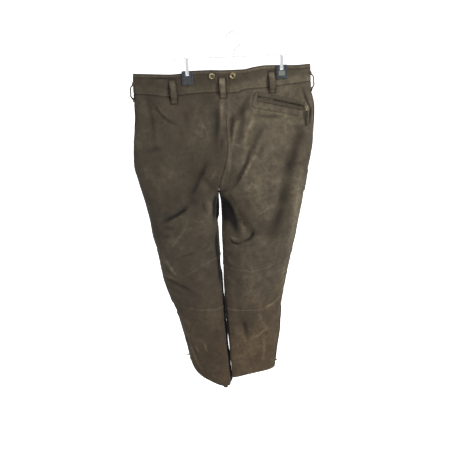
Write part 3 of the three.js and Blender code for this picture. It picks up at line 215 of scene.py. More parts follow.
# creases: points from one end to the other, half width on each side of the line, height, tone;
# a tone above 0 is partly rubbed wear and partly painted highlight on ridges; one below 0 is painted shade
CREASE_REACH = 40
BACK_CREASES = [
    ([(-225, -44), (-216, -99), (-212, -127), (-211, -157), (-210, -200)], 6, 8, -2.2, -0.2),
    ([(-212, -72), (-193, -97), (-179, -114), (-166, -125), (-130, -144)], 5, 4, -2.4, -0.22),
    ([(-196, -82), (-180, -104), (-163, -118)], 3, 4, 1.0, 0.12),
    ([(-114, -100), (-113, -140)], 7, 7, -1.0, -0.12),
    ([(-130, -143), (-126, -178)], 6, 6, -1.2, -0.1),
    ([(-241, -209), (-214, -204), (-185, -199)], 8, 8, -1.6, -0.16),
    ([(-64, -246), (-82, -291), (-94, -313), (-110, -340)], 8, 5, -3.4, -0.28),
    ([(-75, -126), (-62, -153), (-50, -184)], 3, 4, 1.3, 0.12),
    ([(-30, -66), (-33, -127), (-35, -181), (-31, -216)], 9, 7, -2.2, -0.15),
    ([(-14, -176), (-20, -212)], 5, 5, -2.0, -0.18),
    ([(-36, -258), (-49, -290), (-68, -317)], 4, 5, 1.4, 0.1),
    ([(-13, -60), (-10, -92), (-8, -120)], 4, 5, 1.2, 0.16),
    ([(70, -60), (56, -86), (39, -110), (15, -130), (3, -152)], 7, 9, -3.0, -0.24),
    ([(27, -120), (20, -156), (15, -192), (9, -217), (1, -267), (-12, -311)], 4, 4, 2.0, 0.18),
    ([(20, -117), (12, -152), (9, -186)], 5, 5, -1.4, -0.3),
    ([(46, -100), (43, -136), (33, -190)], 7, 8, -2.0, -0.26),
    ([(78, -114), (65, -144), (53, -171), (43, -204)], 4, 6, 2.6, 0.2),
    ([(13, -194), (44, -202)], 3, 3, 1.0, 0.14),
    ([(106, -148), (81, -186), (60, -230)], 7, 7, -1.6, -0.22),
    ([(66, -206), (54, -251), (42, -275), (24, -302), (4, -330)], 5, 4, -3.2, -0.4),
    ([(90, -196), (71, -243), (50, -278), (24, -312)], 4, 5, 1.6, 0.22),
    ([(101, -201), (91, -237)], 6, 6, -1.4, -0.12),
    ([(54, -272), (60, -320)], 7, 7, -1.0, -0.1),
    ([(207, -136), (213, -175), (197, -216), (184, -266), (171, -308)], 15, 11, -1.0, -0.3),
    ([(176, -290), (162, -353), (155, -390), (139, -440), (121, -488)], 14, 13, -1.0, -0.32),
    ([(216, -51), (224, -76), (233, -95), (240, -110), (236, -150)], 3, 3, -2.0, -0.5),
    # the next five rows are only painted shade: along the left edge and in the gap between the legs
    ([(-262, -8), (-262, -80)], 7, 7, 0.0, -0.6),
    ([(-26, -342), (-20, -372), (-16, -404), (-20, -440)], 8, 8, 0.0, -0.8),
    ([(-38, -342), (-46, -372), (-47, -404), (-44, -436)], 6, 7, 0.0, -1.0),
    ([(-40, -451), (-45, -484), (-44, -532), (-40, -590), (-37, -652)], 5, 4, 0.0, -0.9),
    ([(-26, -672), (-24, -745), (-20, -820), (-17, -900)], 4, 3, 0.0, -0.7),
    ([(-22, -78), (-25, -141), (-30, -185)], 5, 4, -0.6, -0.26),
    ([(-14, -70), (-14, -165)], 4, 4, 0.8, 0.14),
    ([(-6, -82), (-7, -130)], 3, 3, -0.6, -0.16),
    ([(-206, -10), (-166, -10), (-126, -9)], 2, 3, 0.0, -0.3),
    ([(80, -117), (104, -123), (129, -125), (160, -124)], 4, 4, 0.0, -0.16),
    ([(241, -104), (239, -135), (233, -162)], 3, 3, -1.0, -0.4),
    ([(218, -281), (203, -354), (193, -439), (179, -519), (168, -605)], 9, 9, 2.0, 0.2),
    ([(-14, -362), (-4, -406), (12, -444), (32, -484)], 13, 10, -5.0, -0.5),
    ([(-6, -360), (16, -408), (38, -462)], 3, 9, 2.0, 0.14),
    ([(-6, -486), (5, -496), (17, -498), (30, -494)], 3, 3, -3.4, -0.6),
    ([(-8, -476), (10, -481), (22, -482)], 4, 4, 1.5, 0.14),
    ([(29, -494), (45, -487), (57, -482), (63, -473), (70, -450)], 4, 4, -3.2, -0.45),
    ([(70, -412), (94, -394), (111, -383), (134, -373)], 3, 3, 1.8, 0.18),
    ([(68, -403), (92, -385), (112, -374)], 3, 3, 1.0, 0.12),
    ([(32, -500), (30, -530), (38, -560)], 9, 9, 1.6, 0.05),
    ([(-116, -362), (-133, -381), (-155, -395), (-180, -407), (-212, -424)], 8, 4, -3.4, -0.4),
    ([(-206, -432), (-164, -437)], 6, 6, -1.5, -0.16),
    ([(-216, -467), (-178, -460)], 6, 6, -1.2, -0.12),
    ([(-79, -357), (-77, -378), (-69, -400)], 4, 4, -2.4, -0.28),
    ([(-62, -344), (-56, -377), (-58, -404)], 8, 7, 1.4, 0.1),
    ([(-120, -404), (-97, -419), (-76, -420)], 3, 3, 0.8, 0.12),
    ([(-127, -422), (-150, -457), (-174, -486), (-188, -508)], 4, 4, 1.4, 0.14),
    ([(-159, -531), (-131, -525), (-106, -517)], 3, 3, -1.3, -0.18),
    ([(-222, -517), (-205, -546), (-188, -579), (-172, -608)], 4, 4, 2.0, 0.2),
    ([(-221, -540), (-203, -560), (-188, -579)], 3, 3, 1.2, 0.2),
    ([(-216, -613), (-193, -622), (-168, -635), (-143, -650), (-122, -662)], 7, 5, -2.8, -0.3),
    ([(-214, -600), (-191, -609), (-166, -618)], 3, 3, 1.2, 0.16),
    ([(-205, -650), (-166, -668), (-120, -672)], 7, 8, -1.5, -0.08),
    ([(-108, -572), (-80, -590), (-58, -618)], 8, 8, -1.2, -0.08),
    ([(-15, -538), (-6, -563), (6, -571)], 3, 3, 1.0, 0.12),
    ([(-8, -610), (20, -636), (34, -668)], 8, 8, -1.4, -0.06),
    ([(96, -610), (124, -640), (134, -676)], 8, 8, -1.6, -0.08),
    ([(163, -573), (163, -662), (150, -718)], 7, 7, 1.5, 0.16),
    ([(106, -729), (136, -720), (157, -704)], 3, 4, 1.4, 0.22),
    ([(106, -752), (112, -729), (140, -726)], 3, 3, 1.0, 0.24),
    ([(27, -776), (35, -803), (41, -836), (44, -862)], 7, 6, -3.2, -0.34),
    ([(51, -854), (75, -845), (89, -835), (99, -825), (116, -816)], 3, 3, 1.4, 0.34),
    ([(102, -846), (113, -831)], 5, 4, -1.8, -0.2),
    ([(79, -750), (90, -786), (104, -824)], 4, 6, 1.8, 0.14),
    ([(96, -846), (99, -908), (91, -968)], 4, 5, 1.6, 0.2),
    ([(-157, -867), (-146, -907), (-135, -954), (-116, -990)], 4, 4, 2.4, 0.42),
    ([(-136, -872), (-121, -907)], 3, 3, 1.2, 0.34),
    ([(-104, -858), (-96, -900)], 3, 3, 1.2, 0.3),
    ([(-175, -840), (-161, -870), (-150, -925)], 6, 6, -1.4, -0.2),
    ([(-66, -786), (-60, -840), (-50, -890)], 8, 8, -1.0, -0.05),
]
FRONT_CREASES = [
    ([(-20, -232), (-62, -262), (-110, -286)], 6, 9, -2.8, -0.14),
    ([(-10, -236), (34, -268), (84, -290)], 6, 9, -2.8, -0.14),
    ([(-24, -280), (-70, -318), (-118, -336)], 5, 8, -2.6, -0.14),
    ([(-22, -284), (20, -322), (70, -340)], 5, 8, -2.6, -0.14),
    ([(-60, -70), (-66, -120), (-64, -168)], 8, 8, -1.4, -0.14),
    ([(84, -64), (80, -124), (88, -176)], 8, 8, -1.4, -0.14),
    ([(-205, -70), (-182, -120), (-178, -176)], 9, 6, -1.8, -0.14),
    ([(206, -160), (186, -262), (168, -350)], 10, 8, -2.4, -0.14),
    ([(-128, -400), (-134, -452), (-126, -508)], 8, 6, 1.8, 0.1),
    ([(60, -404), (74, -456), (70, -512)], 8, 6, 1.8, 0.1),
    ([(-190, -604), (-140, -622), (-84, -612)], 7, 5, -2.6, -0.14),
    ([(-184, -676), (-140, -690), (-92, -684)], 6, 7, -2.0, -0.14),
    ([(8, -612), (56, -630), (108, -618)], 7, 5, -2.6, -0.14),
    ([(14, -684), (60, -696), (110, -682)], 6, 7, -2.0, -0.14),
    ([(-130, -776), (-118, -830), (-96, -868)], 6, 8, -2.0, -0.14),
    ([(40, -780), (56, -830), (74, -872)], 6, 8, -2.0, -0.14),
    ([(-86, -890), (-74, -930), (-72, -976)], 6, 6, 1.6, 0.1),
    ([(96, -868), (90, -908), (84, -950)], 6, 6, 1.6, 0.1),
]
# broad soft patches on the back, partly changes of the nap and partly painted light and shade:
# x, z, reach across, reach down, tone
LIGHT_AND_SHADE_PATCHES = [
    (-150, -345, 52, 42, -0.2), (-102, -320, 40, 60, -0.16), (-34, -160, 20, 60, -0.06),
    (-195, -445, 34, 26, -0.1), (180, -300, 26, 80, -0.08), (6, -420, 20, 34, -0.25),
    (80, -280, 52, 90, 0.12), (-52, -390, 36, 44, 0.07), (30, -782, 22, 42, -0.18),
    (-6, -86, 18, 36, 0.12), (205, -400, 18, 140, 0.2), (170, -40, 90, 40, 0.12),
    (-110, -170, 70, 90, -0.06), (222, -120, 24, 34, 0.25), (200, -610, 18, 80, 0.2),
    (130, -450, 50, 50, -0.05), (140, -200, 45, 60, 0.05), (-190, -45, 80, 30, -0.13),
    (-215, -150, 40, 90, -0.08), (40, -20, 60, 20, -0.05), (-140, -700, 60, 40, -0.03),
    (70, -640, 60, 60, 0.06), (110, -95, 40, 30, 0.05),
]
# belt loops: name, whether on the back, top and bottom of the middle line, tone
LOOPS = [
    ("centre_back", True, (-8.5, -15), (-6.5, -69), 0.3),
    ("back_left", True, (-147.5, -17), (-145.5, -80), 0.08),
    ("back_right", True, (129, -5), (132, -61), 0.14),
    ("front_left", False, (-165, -14), (-165, -68), 0.05),
    ("front_right", False, (99, -5), (99, -61), 0.05),
]
# where the cloth bends most and is most uneven: height, reach, strength
BENDS = [(-640, 120, 1.0), (-330, 110, 1.0), (-880, 130, 0.8)]
# lines beside seams and edges: which one, distance from it, half width, height, tone
EDGE_LINES = [
    ("centre", 0, 1.5, -1.0, 0), ("side", 0, 1.5, -0.8, 0), ("side", 2, 2.5, 0, 0.14),
    ("hem", 24, 2.2, -0.7, 0), ("hem", 0, 3.0, 0, 0.22),
    ("top", 0, 2.0, 0, -0.35), ("top", 4.5, 1.6, -0.35, 0), ("top", 6, 3, 0, 0.14), ("top", 11, 2, 0, -0.28),
    ("top", 22, 10, 0, -0.08), ("foot", 4, 1.6, -0.35, 0), ("foot", 3.5, 2.5, 0, 0.16),
]
# cross seams: name, height of the lap below it, tone
CROSS_SEAMS = [("band_seam", 0.0, -0.34), ("knee", 0.8, 0.08), ("calf", 0.8, 0.2)]


# ---- surface ----
def curve(rows, column):
    """A smooth curve through a table: the value of one column against the first."""
    rows = sorted(r for r in rows if not math.isnan(r[column]))
    at = np.array([r[0] for r in rows], float)
    value = np.array([r[column] for r in rows], float)
    rise = np.diff(value) / np.diff(at)
    slope = np.empty(len(at))
    slope[0], slope[-1] = rise[0], rise[-1]
    a, b = rise[:-1], rise[1:]
    same = a * b > 0
    slope[1:-1] = np.where(same, 2 * a * b / np.where(same, a + b, 1), 0)

    def read(k):
        k = np.clip(k, at[0], at[-1])
        i = np.clip(np.searchsorted(at, k) - 1, 0, len(at) - 2)
        h = at[i + 1] - at[i]
        t = (k - at[i]) / h
        t2, t3 = t * t, t * t * t
        return ((2 * t3 - 3 * t2 + 1) * value[i] + (t3 - 2 * t2 + t) * h * slope[i]
                + (3 * t2 - 2 * t3) * value[i + 1] + (t3 - t2) * h * slope[i + 1])
    return read


def smooth(x, a, b):
    """0 up to a, 1 from b on, and an even curve between."""
    t = np.clip((x - a) / (b - a), 0, 1)
    return t * t * (3 - 2 * t)


def bell(distance, width):
    """1 on a line, falling off to both sides of it over its width."""
    return np.exp(-((distance / width) ** 2))


def unit(v):
    """The same directions with length 1."""
    return v / np.linalg.norm(v, axis=-1, keepdims=True)


def signed_power(v, power):
    """A power of the size of v, with the sign of v."""
    return np.sign(v) * np.abs(v) ** power


def run_along(path):
    """The distance run at each point of a path."""
    return np.concatenate([[0], np.cumsum(np.linalg.norm(np.diff(path, axis=0), axis=1))])


def read_along(values, run, at):
    """Values known at distances run, read at the distances at."""
    return np.stack([np.interp(at, run, column) for column in values.T], 1)


def pinch(x, z):
    """How far the clips flatten the cloth: 1 between their pads and 0 far from them."""
    near = np.minimum(*[np.maximum(0, np.abs(x - c) - PINCH["half_width"]) for c in CLIP_X])
    return bell(np.maximum(0, PINCH["start"] - z), PINCH["fade"]) * bell(near, PINCH["spread"])


top_rise = curve(TOP_EDGE, 1)
band_foot = curve(BAND_FOOT, 1)
left_tuck = curve(LEFT_TUCK, 1)
# the heights at which the sections are tabulated, close together round the crotch
LEVELS = np.concatenate([
    np.arange(26, -296, -2.0), np.arange(-296, -334, -0.5), np.arange(-334, -340, -0.1),
    np.arange(-340, -350, -0.5), np.arange(-350, -1080, -2.0),
])
TURNS = 601
STEPS = 480


class Half:
    """One half of the garment: turn 0 is the centre back or inseam, 0.5 the side, 1 the centre front."""

    def __init__(self, name, sections, seams):
        self.name = name
        self.sign = -1 if name == "left" else 1
        columns = ["outer", "outerY", "back", "front", "centre", "inner", "innerY"]
        self.read = {column: curve(sections, k) for k, column in enumerate(columns, 1)}
        self.knee, self.calf, self.hem = [curve(seams[key], 1) for key in ("knee", "calf", "hem")]
        self.tabulate()

    def section(self, angle, z):
        """Points x, y of the sections at heights z; angle runs from 0 to 1 like turn, but unevenly."""
        r = {n: f(z) for n, f in self.read.items()}

        def depth(y):
            return np.where(y < 0, r["back"], r["front"])
        a = np.pi * angle
        reach = np.sin(a).clip(0) ** (2 / PELVIS_POWER)
        hip_x = r["centre"] + (r["outer"] - r["centre"]) * reach
        hip_side = -signed_power(np.cos(a), 2 / PELVIS_POWER)
        hip_y = r["outerY"] * reach + hip_side * depth(hip_side)
        b = 2 * np.pi * angle
        across = 0.5 - 0.5 * signed_power(np.cos(b), 2 / LEG_POWER)
        leg_x = r["inner"] + (r["outer"] - r["inner"]) * across
        if self.name == "left":
            near = bell(angle - TUCK["turn"], TUCK["spread"])
            leg_x = leg_x + left_tuck(z) * near * smooth(1 - angle, 0, TUCK["edge"])
        leg_side = -signed_power(np.sin(b), 2 / LEG_POWER)
        lean = r["innerY"] + (r["outerY"] - r["innerY"]) * across
        leg_y = lean + leg_side * depth(leg_side)
        t = np.clip((FORK_TOP - z) / (FORK_TOP - CROTCH_Z), 0, 1)
        at_seam = bell(np.minimum(angle, 1 - angle), FORK_SPREAD)
        hip = at_seam * np.sqrt(1 - t * t) + (1 - at_seam) * (1 - t * t * (3 - 2 * t))
        x = hip * hip_x + (1 - hip) * leg_x
        y = hip * hip_y + (1 - hip) * leg_y
        flat = np.sign(y) * np.minimum(np.abs(y), PINCH["y"])
        return x, y + (flat - y) * pinch(x, z)

    def tabulate(self):
        """Points and normals of the form at LEVELS and even turns, and the lengths of its sections."""
        angle = np.linspace(0, 1, STEPS + 1)[None, :]
        x, y = self.section(angle, LEVELS[:, None])
        run = np.concatenate([np.zeros((len(LEVELS), 1)), np.cumsum(np.hypot(np.diff(x), np.diff(y)), 1)], 1)
        self.back_length = run[:, STEPS // 2]
        self.front_length = run[:, -1] - self.back_length
        turns = np.linspace(0, 1, TURNS)
        self.x = np.empty((len(LEVELS), TURNS))
        self.y = np.empty_like(self.x)
        for k, (back, front) in enumerate(zip(self.back_length, self.front_length)):
            target = np.where(turns <= 0.5, turns * 2 * back, back + (turns * 2 - 1) * front)
            self.x[k] = np.interp(target, run[k], x[k])
            self.y[k] = np.interp(target, run[k], y[k])
        dx, dy = np.gradient(self.x, axis=1), np.gradient(self.y, axis=1)
        zx, zy = np.gradient(self.x, axis=0), np.gradient(self.y, axis=0)
        zz = np.gradient(LEVELS)[:, None]
        n = unit(np.stack([-dy * zz, dx * zz, dy * zx - dx * zy], -1) * self.sign)
        # front and back share a normal at the inseam; above it the centre seams face straight out
        below = LEVELS < CROTCH_Z
        n[below, 0] = n[below, -1] = unit(n[below, 0] + n[below, -1])
        flatten = smooth(np.minimum(turns, 1 - turns), 0, 0.02)
        n[..., 0] *= np.where(below[:, None], 1, flatten)
        self.normals = unit(n)

    def look(self, table, turn, z):
        """A table's value between its rows and columns."""
        zi = np.interp(-z, -LEVELS, np.arange(len(LEVELS)))
        ti = np.clip(turn, 0, 1) * (TURNS - 1)
        i = np.clip(zi.astype(int), 0, len(LEVELS) - 2)
        j = np.clip(ti.astype(int), 0, TURNS - 2)
        a, b = zi - i, ti - j
        if table.ndim == 3:
            a, b = a[..., None], b[..., None]
        return ((table[i, j] * (1 - b) + table[i, j + 1] * b) * (1 - a)
                + (table[i + 1, j] * (1 - b) + table[i + 1, j + 1] * b) * a)

    def plain_form(self, turn, z):
        """Points and normals of the form without its folds."""
        turn, z = np.broadcast_arrays(np.asarray(turn, float), np.asarray(z, float))
        point = np.stack([self.look(self.x, turn, z), self.look(self.y, turn, z), z], -1)
        return point, unit(self.look(self.normals, turn, z))

    def length(self, turn, z):
        """Length of the face's section at z, in mm for one unit of turn."""
        back = np.interp(-z, -LEVELS, self.back_length)
        front = np.interp(-z, -LEVELS, self.front_length)
        return 2 * np.where(turn <= 0.5, back, front)

    def band_top(self, turn):
        return top_rise(self.look(self.x, turn, np.full_like(turn, BAND_MIDDLE)))

    def band_seam(self, turn):
        return band_foot(self.look(self.x, turn, np.full_like(turn, BAND_MIDDLE)))


HALVES = {
    "left": Half("left", LEFT_SECTIONS, SEAMS["left"]),
    "right": Half("right", RIGHT_SECTIONS, SEAMS["right"]),
}
left_half, right_half = HALVES.values()

# ---- noise ----
rng = np.random.default_rng(7)
GRADIENTS = unit(rng.normal(size=(256, 3)))
ORDER = rng.permutation(256)


def noise(p):
    """Smooth gradient noise at points p, about -0.7 to 0.7."""
    cell = np.floor(p).astype(int)
    f = p - cell
    w = f * f * f * (f * (f * 6 - 15) + 10)
    total = 0
    for dx in (0, 1):
        for dy in (0, 1):
            for dz in (0, 1):
                c = cell + (dx, dy, dz)
                h = ORDER[(ORDER[(ORDER[c[..., 0] & 255] + c[..., 1]) & 255] + c[..., 2]) & 255]
                d = np.einsum("...k,...k->...", GRADIENTS[h], f - (dx, dy, dz))
                wx = w[..., 0] if dx else 1 - w[..., 0]
                wy = w[..., 1] if dy else 1 - w[..., 1]
                wz = w[..., 2] if dz else 1 - w[..., 2]
                total = total + d * wx * wy * wz
    return total


def line_distance(x, z, points):
    """Distance to a line of points, the side it lies on, and how far along the line, 0 to 1."""
    points = np.array(points, float)
    lengths = np.hypot(*np.diff(points, axis=0).T)
    total = lengths.sum()
    best = np.full(x.shape, 1e9)
    side = np.zeros(x.shape)
    along = np.zeros(x.shape)
    start = 0.0
    for (x1, z1), (x2, z2), length in zip(points[:-1], points[1:], lengths):
        dx, dz = (x2 - x1) / length, (z2 - z1) / length
        t = np.clip((x - x1) * dx + (z - z1) * dz, 0, length)
        d = np.hypot(x - x1 - t * dx, z - z1 - t * dz)
        nearer = d < best
        best = np.where(nearer, d, best)
        side = np.where(nearer, np.sign((x - x1) * dz - (z - z1) * dx), side)
        along = np.where(nearer, (start + t) / total, along)
        start += length
    return best, side, along


def fold_height(turn, x, z):
    """Heights of the largest folds, which the solids have as well."""
    inner = np.minimum(turn, 1 - turn)
    height = np.zeros(x.shape)
    for on_back, folds in ((True, BACK_FOLDS), (False, FRONT_FOLDS)):
        for x1, z1, x2, z2, width, tall in folds:
            d, _, _ = line_distance(x, z, [(x1, z1), (x2, z2)])
            height += ((turn < 0.5) == on_back) * tall * bell(d, width)
    return height * smooth(0.5 - inner, 0, 0.06) * smooth(inner, 0, 0.02)


def crease_height(turn, x, z):
    """Heights of the creases, and their tones: rubbed wear and painted highlight above 0, painted shade below
    it.
    """
    inner = np.minimum(turn, 1 - turn)
    back = turn < 0.5
    height, tone = np.zeros(x.shape), np.zeros(x.shape)
    for on_back, creases in ((True, BACK_CREASES), (False, FRONT_CREASES)):
        for points, wide_a, wide_b, tall, shade in creases:
            low = np.min(points, axis=0) - CREASE_REACH
            high = np.max(points, axis=0) + CREASE_REACH
            m = (back == on_back) & (x > low[0]) & (x < high[0]) & (z > low[1]) & (z < high[1])
            if m.any():
                d, side, along = line_distance(x[m], z[m], points)
                ends = smooth(along, 0, 0.3) * smooth(1 - along, 0, 0.35)
                near = bell(d, np.where(side > 0, wide_a, wide_b)) * (ends * 0.8 + 0.2)
                height[m] += tall * near
                tone[m] += 1.25 * shade * near
    # broad patches of painted light and shade on the back, partly the nap
    for px, pz, rx, rz, shade in LIGHT_AND_SHADE_PATCHES:
        tone += back * shade * np.exp(-(((x - px) / rx) ** 2 + ((z - pz) / rz) ** 2))
    # painted shadow in a thin dark outline round each belt loop,
    # and painted shade on the inside of the front beside the inseam
    for _, on_back, (x1, z1), (x2, z2), _ in LOOPS:
        middle = x1 + (x2 - x1) * (z - z1) / (z2 - z1)
        outside = np.maximum(np.abs(x - middle) - LOOP["width"] / 2, np.maximum(z - z1, z2 - z))
        tone -= 0.5 * (back == on_back) * bell(outside - 0.9, 1.5)
    tone -= 1.1 * (~back) * smooth(turn, 0.9, 0.96) * smooth(-z, 336, 350)
    return height * smooth(0.5 - inner, 0, 0.05) * smooth(inner, 0, 0.025), tone


def wrinkle_height(p):
    """Uneven hand of the leather: broad waves and small dents, stronger where the cloth bends."""
    z = p[..., 2]
    broad = noise(p / (55, 60, 80) + 3.1)
    middle = noise(p / (24, 30, 34) + 9.7)
    small = noise(p / (10, 12, 12) + 5.3)
    dents = np.maximum(0, noise(p / (16, 18, 12) + 17.0) - 0.12)
    bend = sum(strength * bell(z - level, reach) for level, reach, strength in BENDS)
    uneven = broad * 2.2 * (0.4 + bend) + middle * 1.1 * (0.5 + bend) + small * 0.35 - dents * 1.6 * bend
    return uneven * smooth(-z, 60, 130)


def seam_relief(one, turn, z):
    """Grooves and raised laps along the seams with the puckers beside them, and the seams' tones."""
    inner = np.minimum(turn, 1 - turn)
    length = one.length(turn, z)
    to_centre = inner * length
    to_foot = z - one.band_seam(turn)
    to_hem = z - one.hem(turn)
    to_side = (0.5 - inner) * length
    edges = dict(centre=to_centre, side=to_side, hem=to_hem, top=one.band_top(turn) - z, foot=to_foot)
    above = smooth(z, CROTCH_Z - 2, CROTCH_Z + 2)
    shown = above * smooth(-z, 95, 150)

    def lap(s, wide, tall):
        return tall * smooth(s, 0, 1.4) * (1 - smooth(s, wide - 0.6, wide + 1.2))
    height = 0.5 * (1 - smooth(to_hem, HEM_DEPTH - 2, HEM_DEPTH + 1))
    tone = shown * (0.16 * bell(to_centre - 4, 2) - 0.2 * bell(to_centre, 2))
    tone += above * 0.1 * bell(to_foot - 12, 9)
    if one.name == "right":
        height += lap(to_centre, LAP["centre"], LAP["centre_height"]) * above
        tone += 0.12 * bell(to_centre - LAP["centre"], 2.5) * shown
    for edge, at, wide, tall, shade in EDGE_LINES:
        near = bell(edges[edge] - at, wide)
        height += tall * near
        tone += shade * near
    phase = turn * length
    pucker = np.sin(phase / 3.1 + 2.2 * np.sin(phase / 17.0)) * 0.28
    for seam, tall, shade in CROSS_SEAMS:
        s = z - getattr(one, seam)(turn)
        height += lap(-s, LAP["cross"], tall) - bell(s, 1.5) + pucker * bell(s, 11) * smooth(np.abs(s), 0, 2)
        tone += shade * bell(s + 0.8, 1.8)
    return height, tone


POCKET_LENGTH = float(np.linalg.norm(POCKET_RIGHT - POCKET_LEFT))
POCKET_RUN = (POCKET_RIGHT - POCKET_LEFT) / POCKET_LENGTH
POCKET_ACROSS = np.array([-POCKET_RUN[1], POCKET_RUN[0]])


def bag_outline(count):
    """The stitched outline of the pocket's bag, as x, z points, open at its right end."""
    top, bottom, left, right, r = BAG["above"], -BAG["below"], BAG["start"], BAG["end"], BAG["corner"]
    path = [(right, top)]
    for start, z in ((0.5, top - r), (1.0, bottom + r)):
        for angle in np.linspace(start, start + 0.5, 7) * math.pi:
            path.append((left + r + r * math.cos(angle), z + r * math.sin(angle)))
    path = np.array([*path, (right - 6, bottom + 3)])
    run = run_along(path)
    u, v = read_along(path, run, np.linspace(0, run[-1], count)).T
    return POCKET_LEFT + u[:, None] * POCKET_RUN + v[:, None] * POCKET_ACROSS


BAG_LINE = bag_outline(26)


def pocket_relief(turn, x, z):
    """The pocket's bag shows through: a groove along its stitches and a raised inside, with their tones."""
    height, tone = np.zeros(x.shape), np.zeros(x.shape)
    near = (turn < 0.5) & (x > 60) & (x < 250) & (z > -150) & (z < -50)
    if near.any():
        d, _, _ = line_distance(x[near], z[near], BAG_LINE)
        groove = bell(d, BAG["groove"])
        from_left = np.stack([x[near], z[near]], -1) - POCKET_LEFT
        u, v = from_left @ POCKET_RUN, from_left @ POCKET_ACROSS
        inside = smooth(u, -12, -6) * smooth(133 - u, 0, 6) * smooth(v, -32, -24) * smooth(12 - v, 0, 6)
        height[near] = 0.9 * inside - 1.1 * groove
        tone[near] = 0.14 * bell(d - 3.2, 2.2) - 0.24 * groove
    return height, tone


def surface(one, turn, z):
    """Points on the finished leather, outward normals of the plain form, and the leather's tone with its
    painted light and shade.
    """
    turn, z = np.broadcast_arrays(np.asarray(turn, float), np.asarray(z, float))
    point, normal = one.plain_form(turn, z)
    x = point[..., 0]
    creases, shade = crease_height(turn, x, z)
    wrinkles = wrinkle_height(point)
    relief, seam_tone = seam_relief(one, turn, z)
    pocket, pocket_tone = pocket_relief(turn, x, z)
    quiet = 1 - pinch(x, z) * 0.9
    height = fold_height(turn, x, z) + (creases + wrinkles) * quiet + relief + pocket
    # lighter on the wrinkles' tops and darker in their hollows: painted light and shade
    tone = shade + seam_tone + pocket_tone + 0.05 * np.clip(wrinkles, -2, 2)
    return point + normal * height[..., None], normal, tone


def turn_at(one, back, x, z):
    """The turn at which the back or front has this x at height z."""
    low = np.full(x.shape, 0.0 if back else 1.0)
    high = np.full(x.shape, 0.5)
    for _ in range(26):
        middle = (low + high) / 2
        short = (one.look(one.x, middle, z) - x) * one.sign < 0
        low, high = np.where(short, middle, low), np.where(short, high, middle)
    return (low + high) / 2


def place(back, x, z, lift=0.0):
    """Points and normals on the finished leather by x and z, lifted off it."""
    x, z = np.broadcast_arrays(np.asarray(x, float), np.asarray(z, float))
    centre = np.where(z > CROTCH_Z, left_half.read["centre"](z), CROTCH_X)
    point, normal = np.empty(x.shape + (3,)), np.empty(x.shape + (3,))
    for one in HALVES.values():
        here = (x < centre) if one.name == "left" else (x >= centre)
        if here.any():
            turn = turn_at(one, back, x[here], z[here])
            point[here], normal[here], _ = surface(one, turn, z[here])
    return point + normal * np.asarray(lift)[..., None], normal


def on_side(one, turn, z, lift):
    """Points and normals on the finished leather of one half by turn and z, lifted off it."""
    point, normal, _ = surface(one, turn, z)
    return point + normal * np.asarray(lift)[..., None], normal


# ---- meshes ----
def link(name, data):
    """A new object in the scene."""
    made = bpy.data.objects.new(name, data)
    bpy.context.scene.collection.objects.link(made)
    return made


def make_mesh(name, points, faces, tone=None, smooth_shade=True):
    mesh = bpy.data.meshes.new(name)
    mesh.from_pydata(((points + ORIGIN) * MM).tolist(), [], faces)
    if tone is not None:
        layer = mesh.attributes.new("tone", "FLOAT", "POINT")
        layer.data.foreach_set("value", tone.astype(np.float32))
    mesh.update()
    if smooth_shade:
        mesh.shade_smooth()
    return link(name, mesh)


def merged(parts):
    """Several pairs of points and faces as one."""
    points, faces, start = [], [], 0
    for more, quads in parts:
        points.append(more)
        faces += [tuple(start + k for k in quad) for quad in quads]
        start += len(more)
    return np.concatenate(points), faces


def grid_faces(columns, rows, offset=0, flip=False, wrap=False):
    """Faces of a grid of points [column, row]; with wrap its last column joins the first."""
    faces = []
    for i in range(columns if wrap else columns - 1):
        a, b = offset + i * rows, offset + (i + 1) % columns * rows
        for j in range(rows - 1):
            quad = (a + j, b + j, b + j + 1, a + j + 1)
            faces.append(quad[::-1] if flip else quad)
    return faces


def shell(name, over, under, flip, tone=None, rim=0.0):
    """A closed sheet between two grids of points [column, row], with its edges rounded by rim."""
    columns, rows = over.shape[:2]
    count = columns * rows
    points = [over.reshape(-1, 3), under.reshape(-1, 3)]
    faces = grid_faces(columns, rows, 0, flip) + grid_faces(columns, rows, count, not flip)
    i, j = np.array([
        *[(i, 0) for i in range(columns)], *[(columns - 1, j) for j in range(1, rows)],
        *[(i, rows - 1) for i in range(columns - 2, -1, -1)], *[(0, j) for j in range(rows - 2, 0, -1)],
    ]).T
    outer = i * rows + j
    if rim:
        inward = over[np.clip(i, 1, columns - 2), np.clip(j, 1, rows - 2)]
        points.append((over[i, j] + under[i, j]) / 2 + unit(over[i, j] - inward) * rim)
    for k, a in enumerate(outer):
        m = (k + 1) % len(outer)
        b = outer[m]
        if rim:
            p, q = 2 * count + k, 2 * count + m
            quads = [(a, p, q, b), (p, count + a, count + b, q)]
        else:
            quads = [(a, count + a, count + b, b)]
        faces += [q if flip else q[::-1] for q in quads]
    if tone is not None:
        tone = tone.ravel()
        tone = np.concatenate([tone, tone, tone[outer] if rim else []])
    return make_mesh(name, np.concatenate(points), faces, tone)


# cells in mm: of the panels, the first ones from each edge and the rest, and of the laid pieces
EDGE_STEPS = (1.2, 1.6, 2.8, 2.6, 1.8)
CELL = 3.1
LAID_CELL = 3.0


def row_plan(levels):
    """Rows between levels from top to bottom: pairs of (index of the level above, share of the way on)."""
    plan = []
    for k, (high, low) in enumerate(zip(levels[:-1], levels[1:])):
        crowded = high == FORK_TOP
        count = max(2, round((high - low) * (1.15 if crowded else 1) / CELL))
        part = np.linspace(0, 1, count + 1)[:-1]
        plan += [(k, v) for v in (np.sin(part * np.pi / 2) if crowded else part)]
    return plan


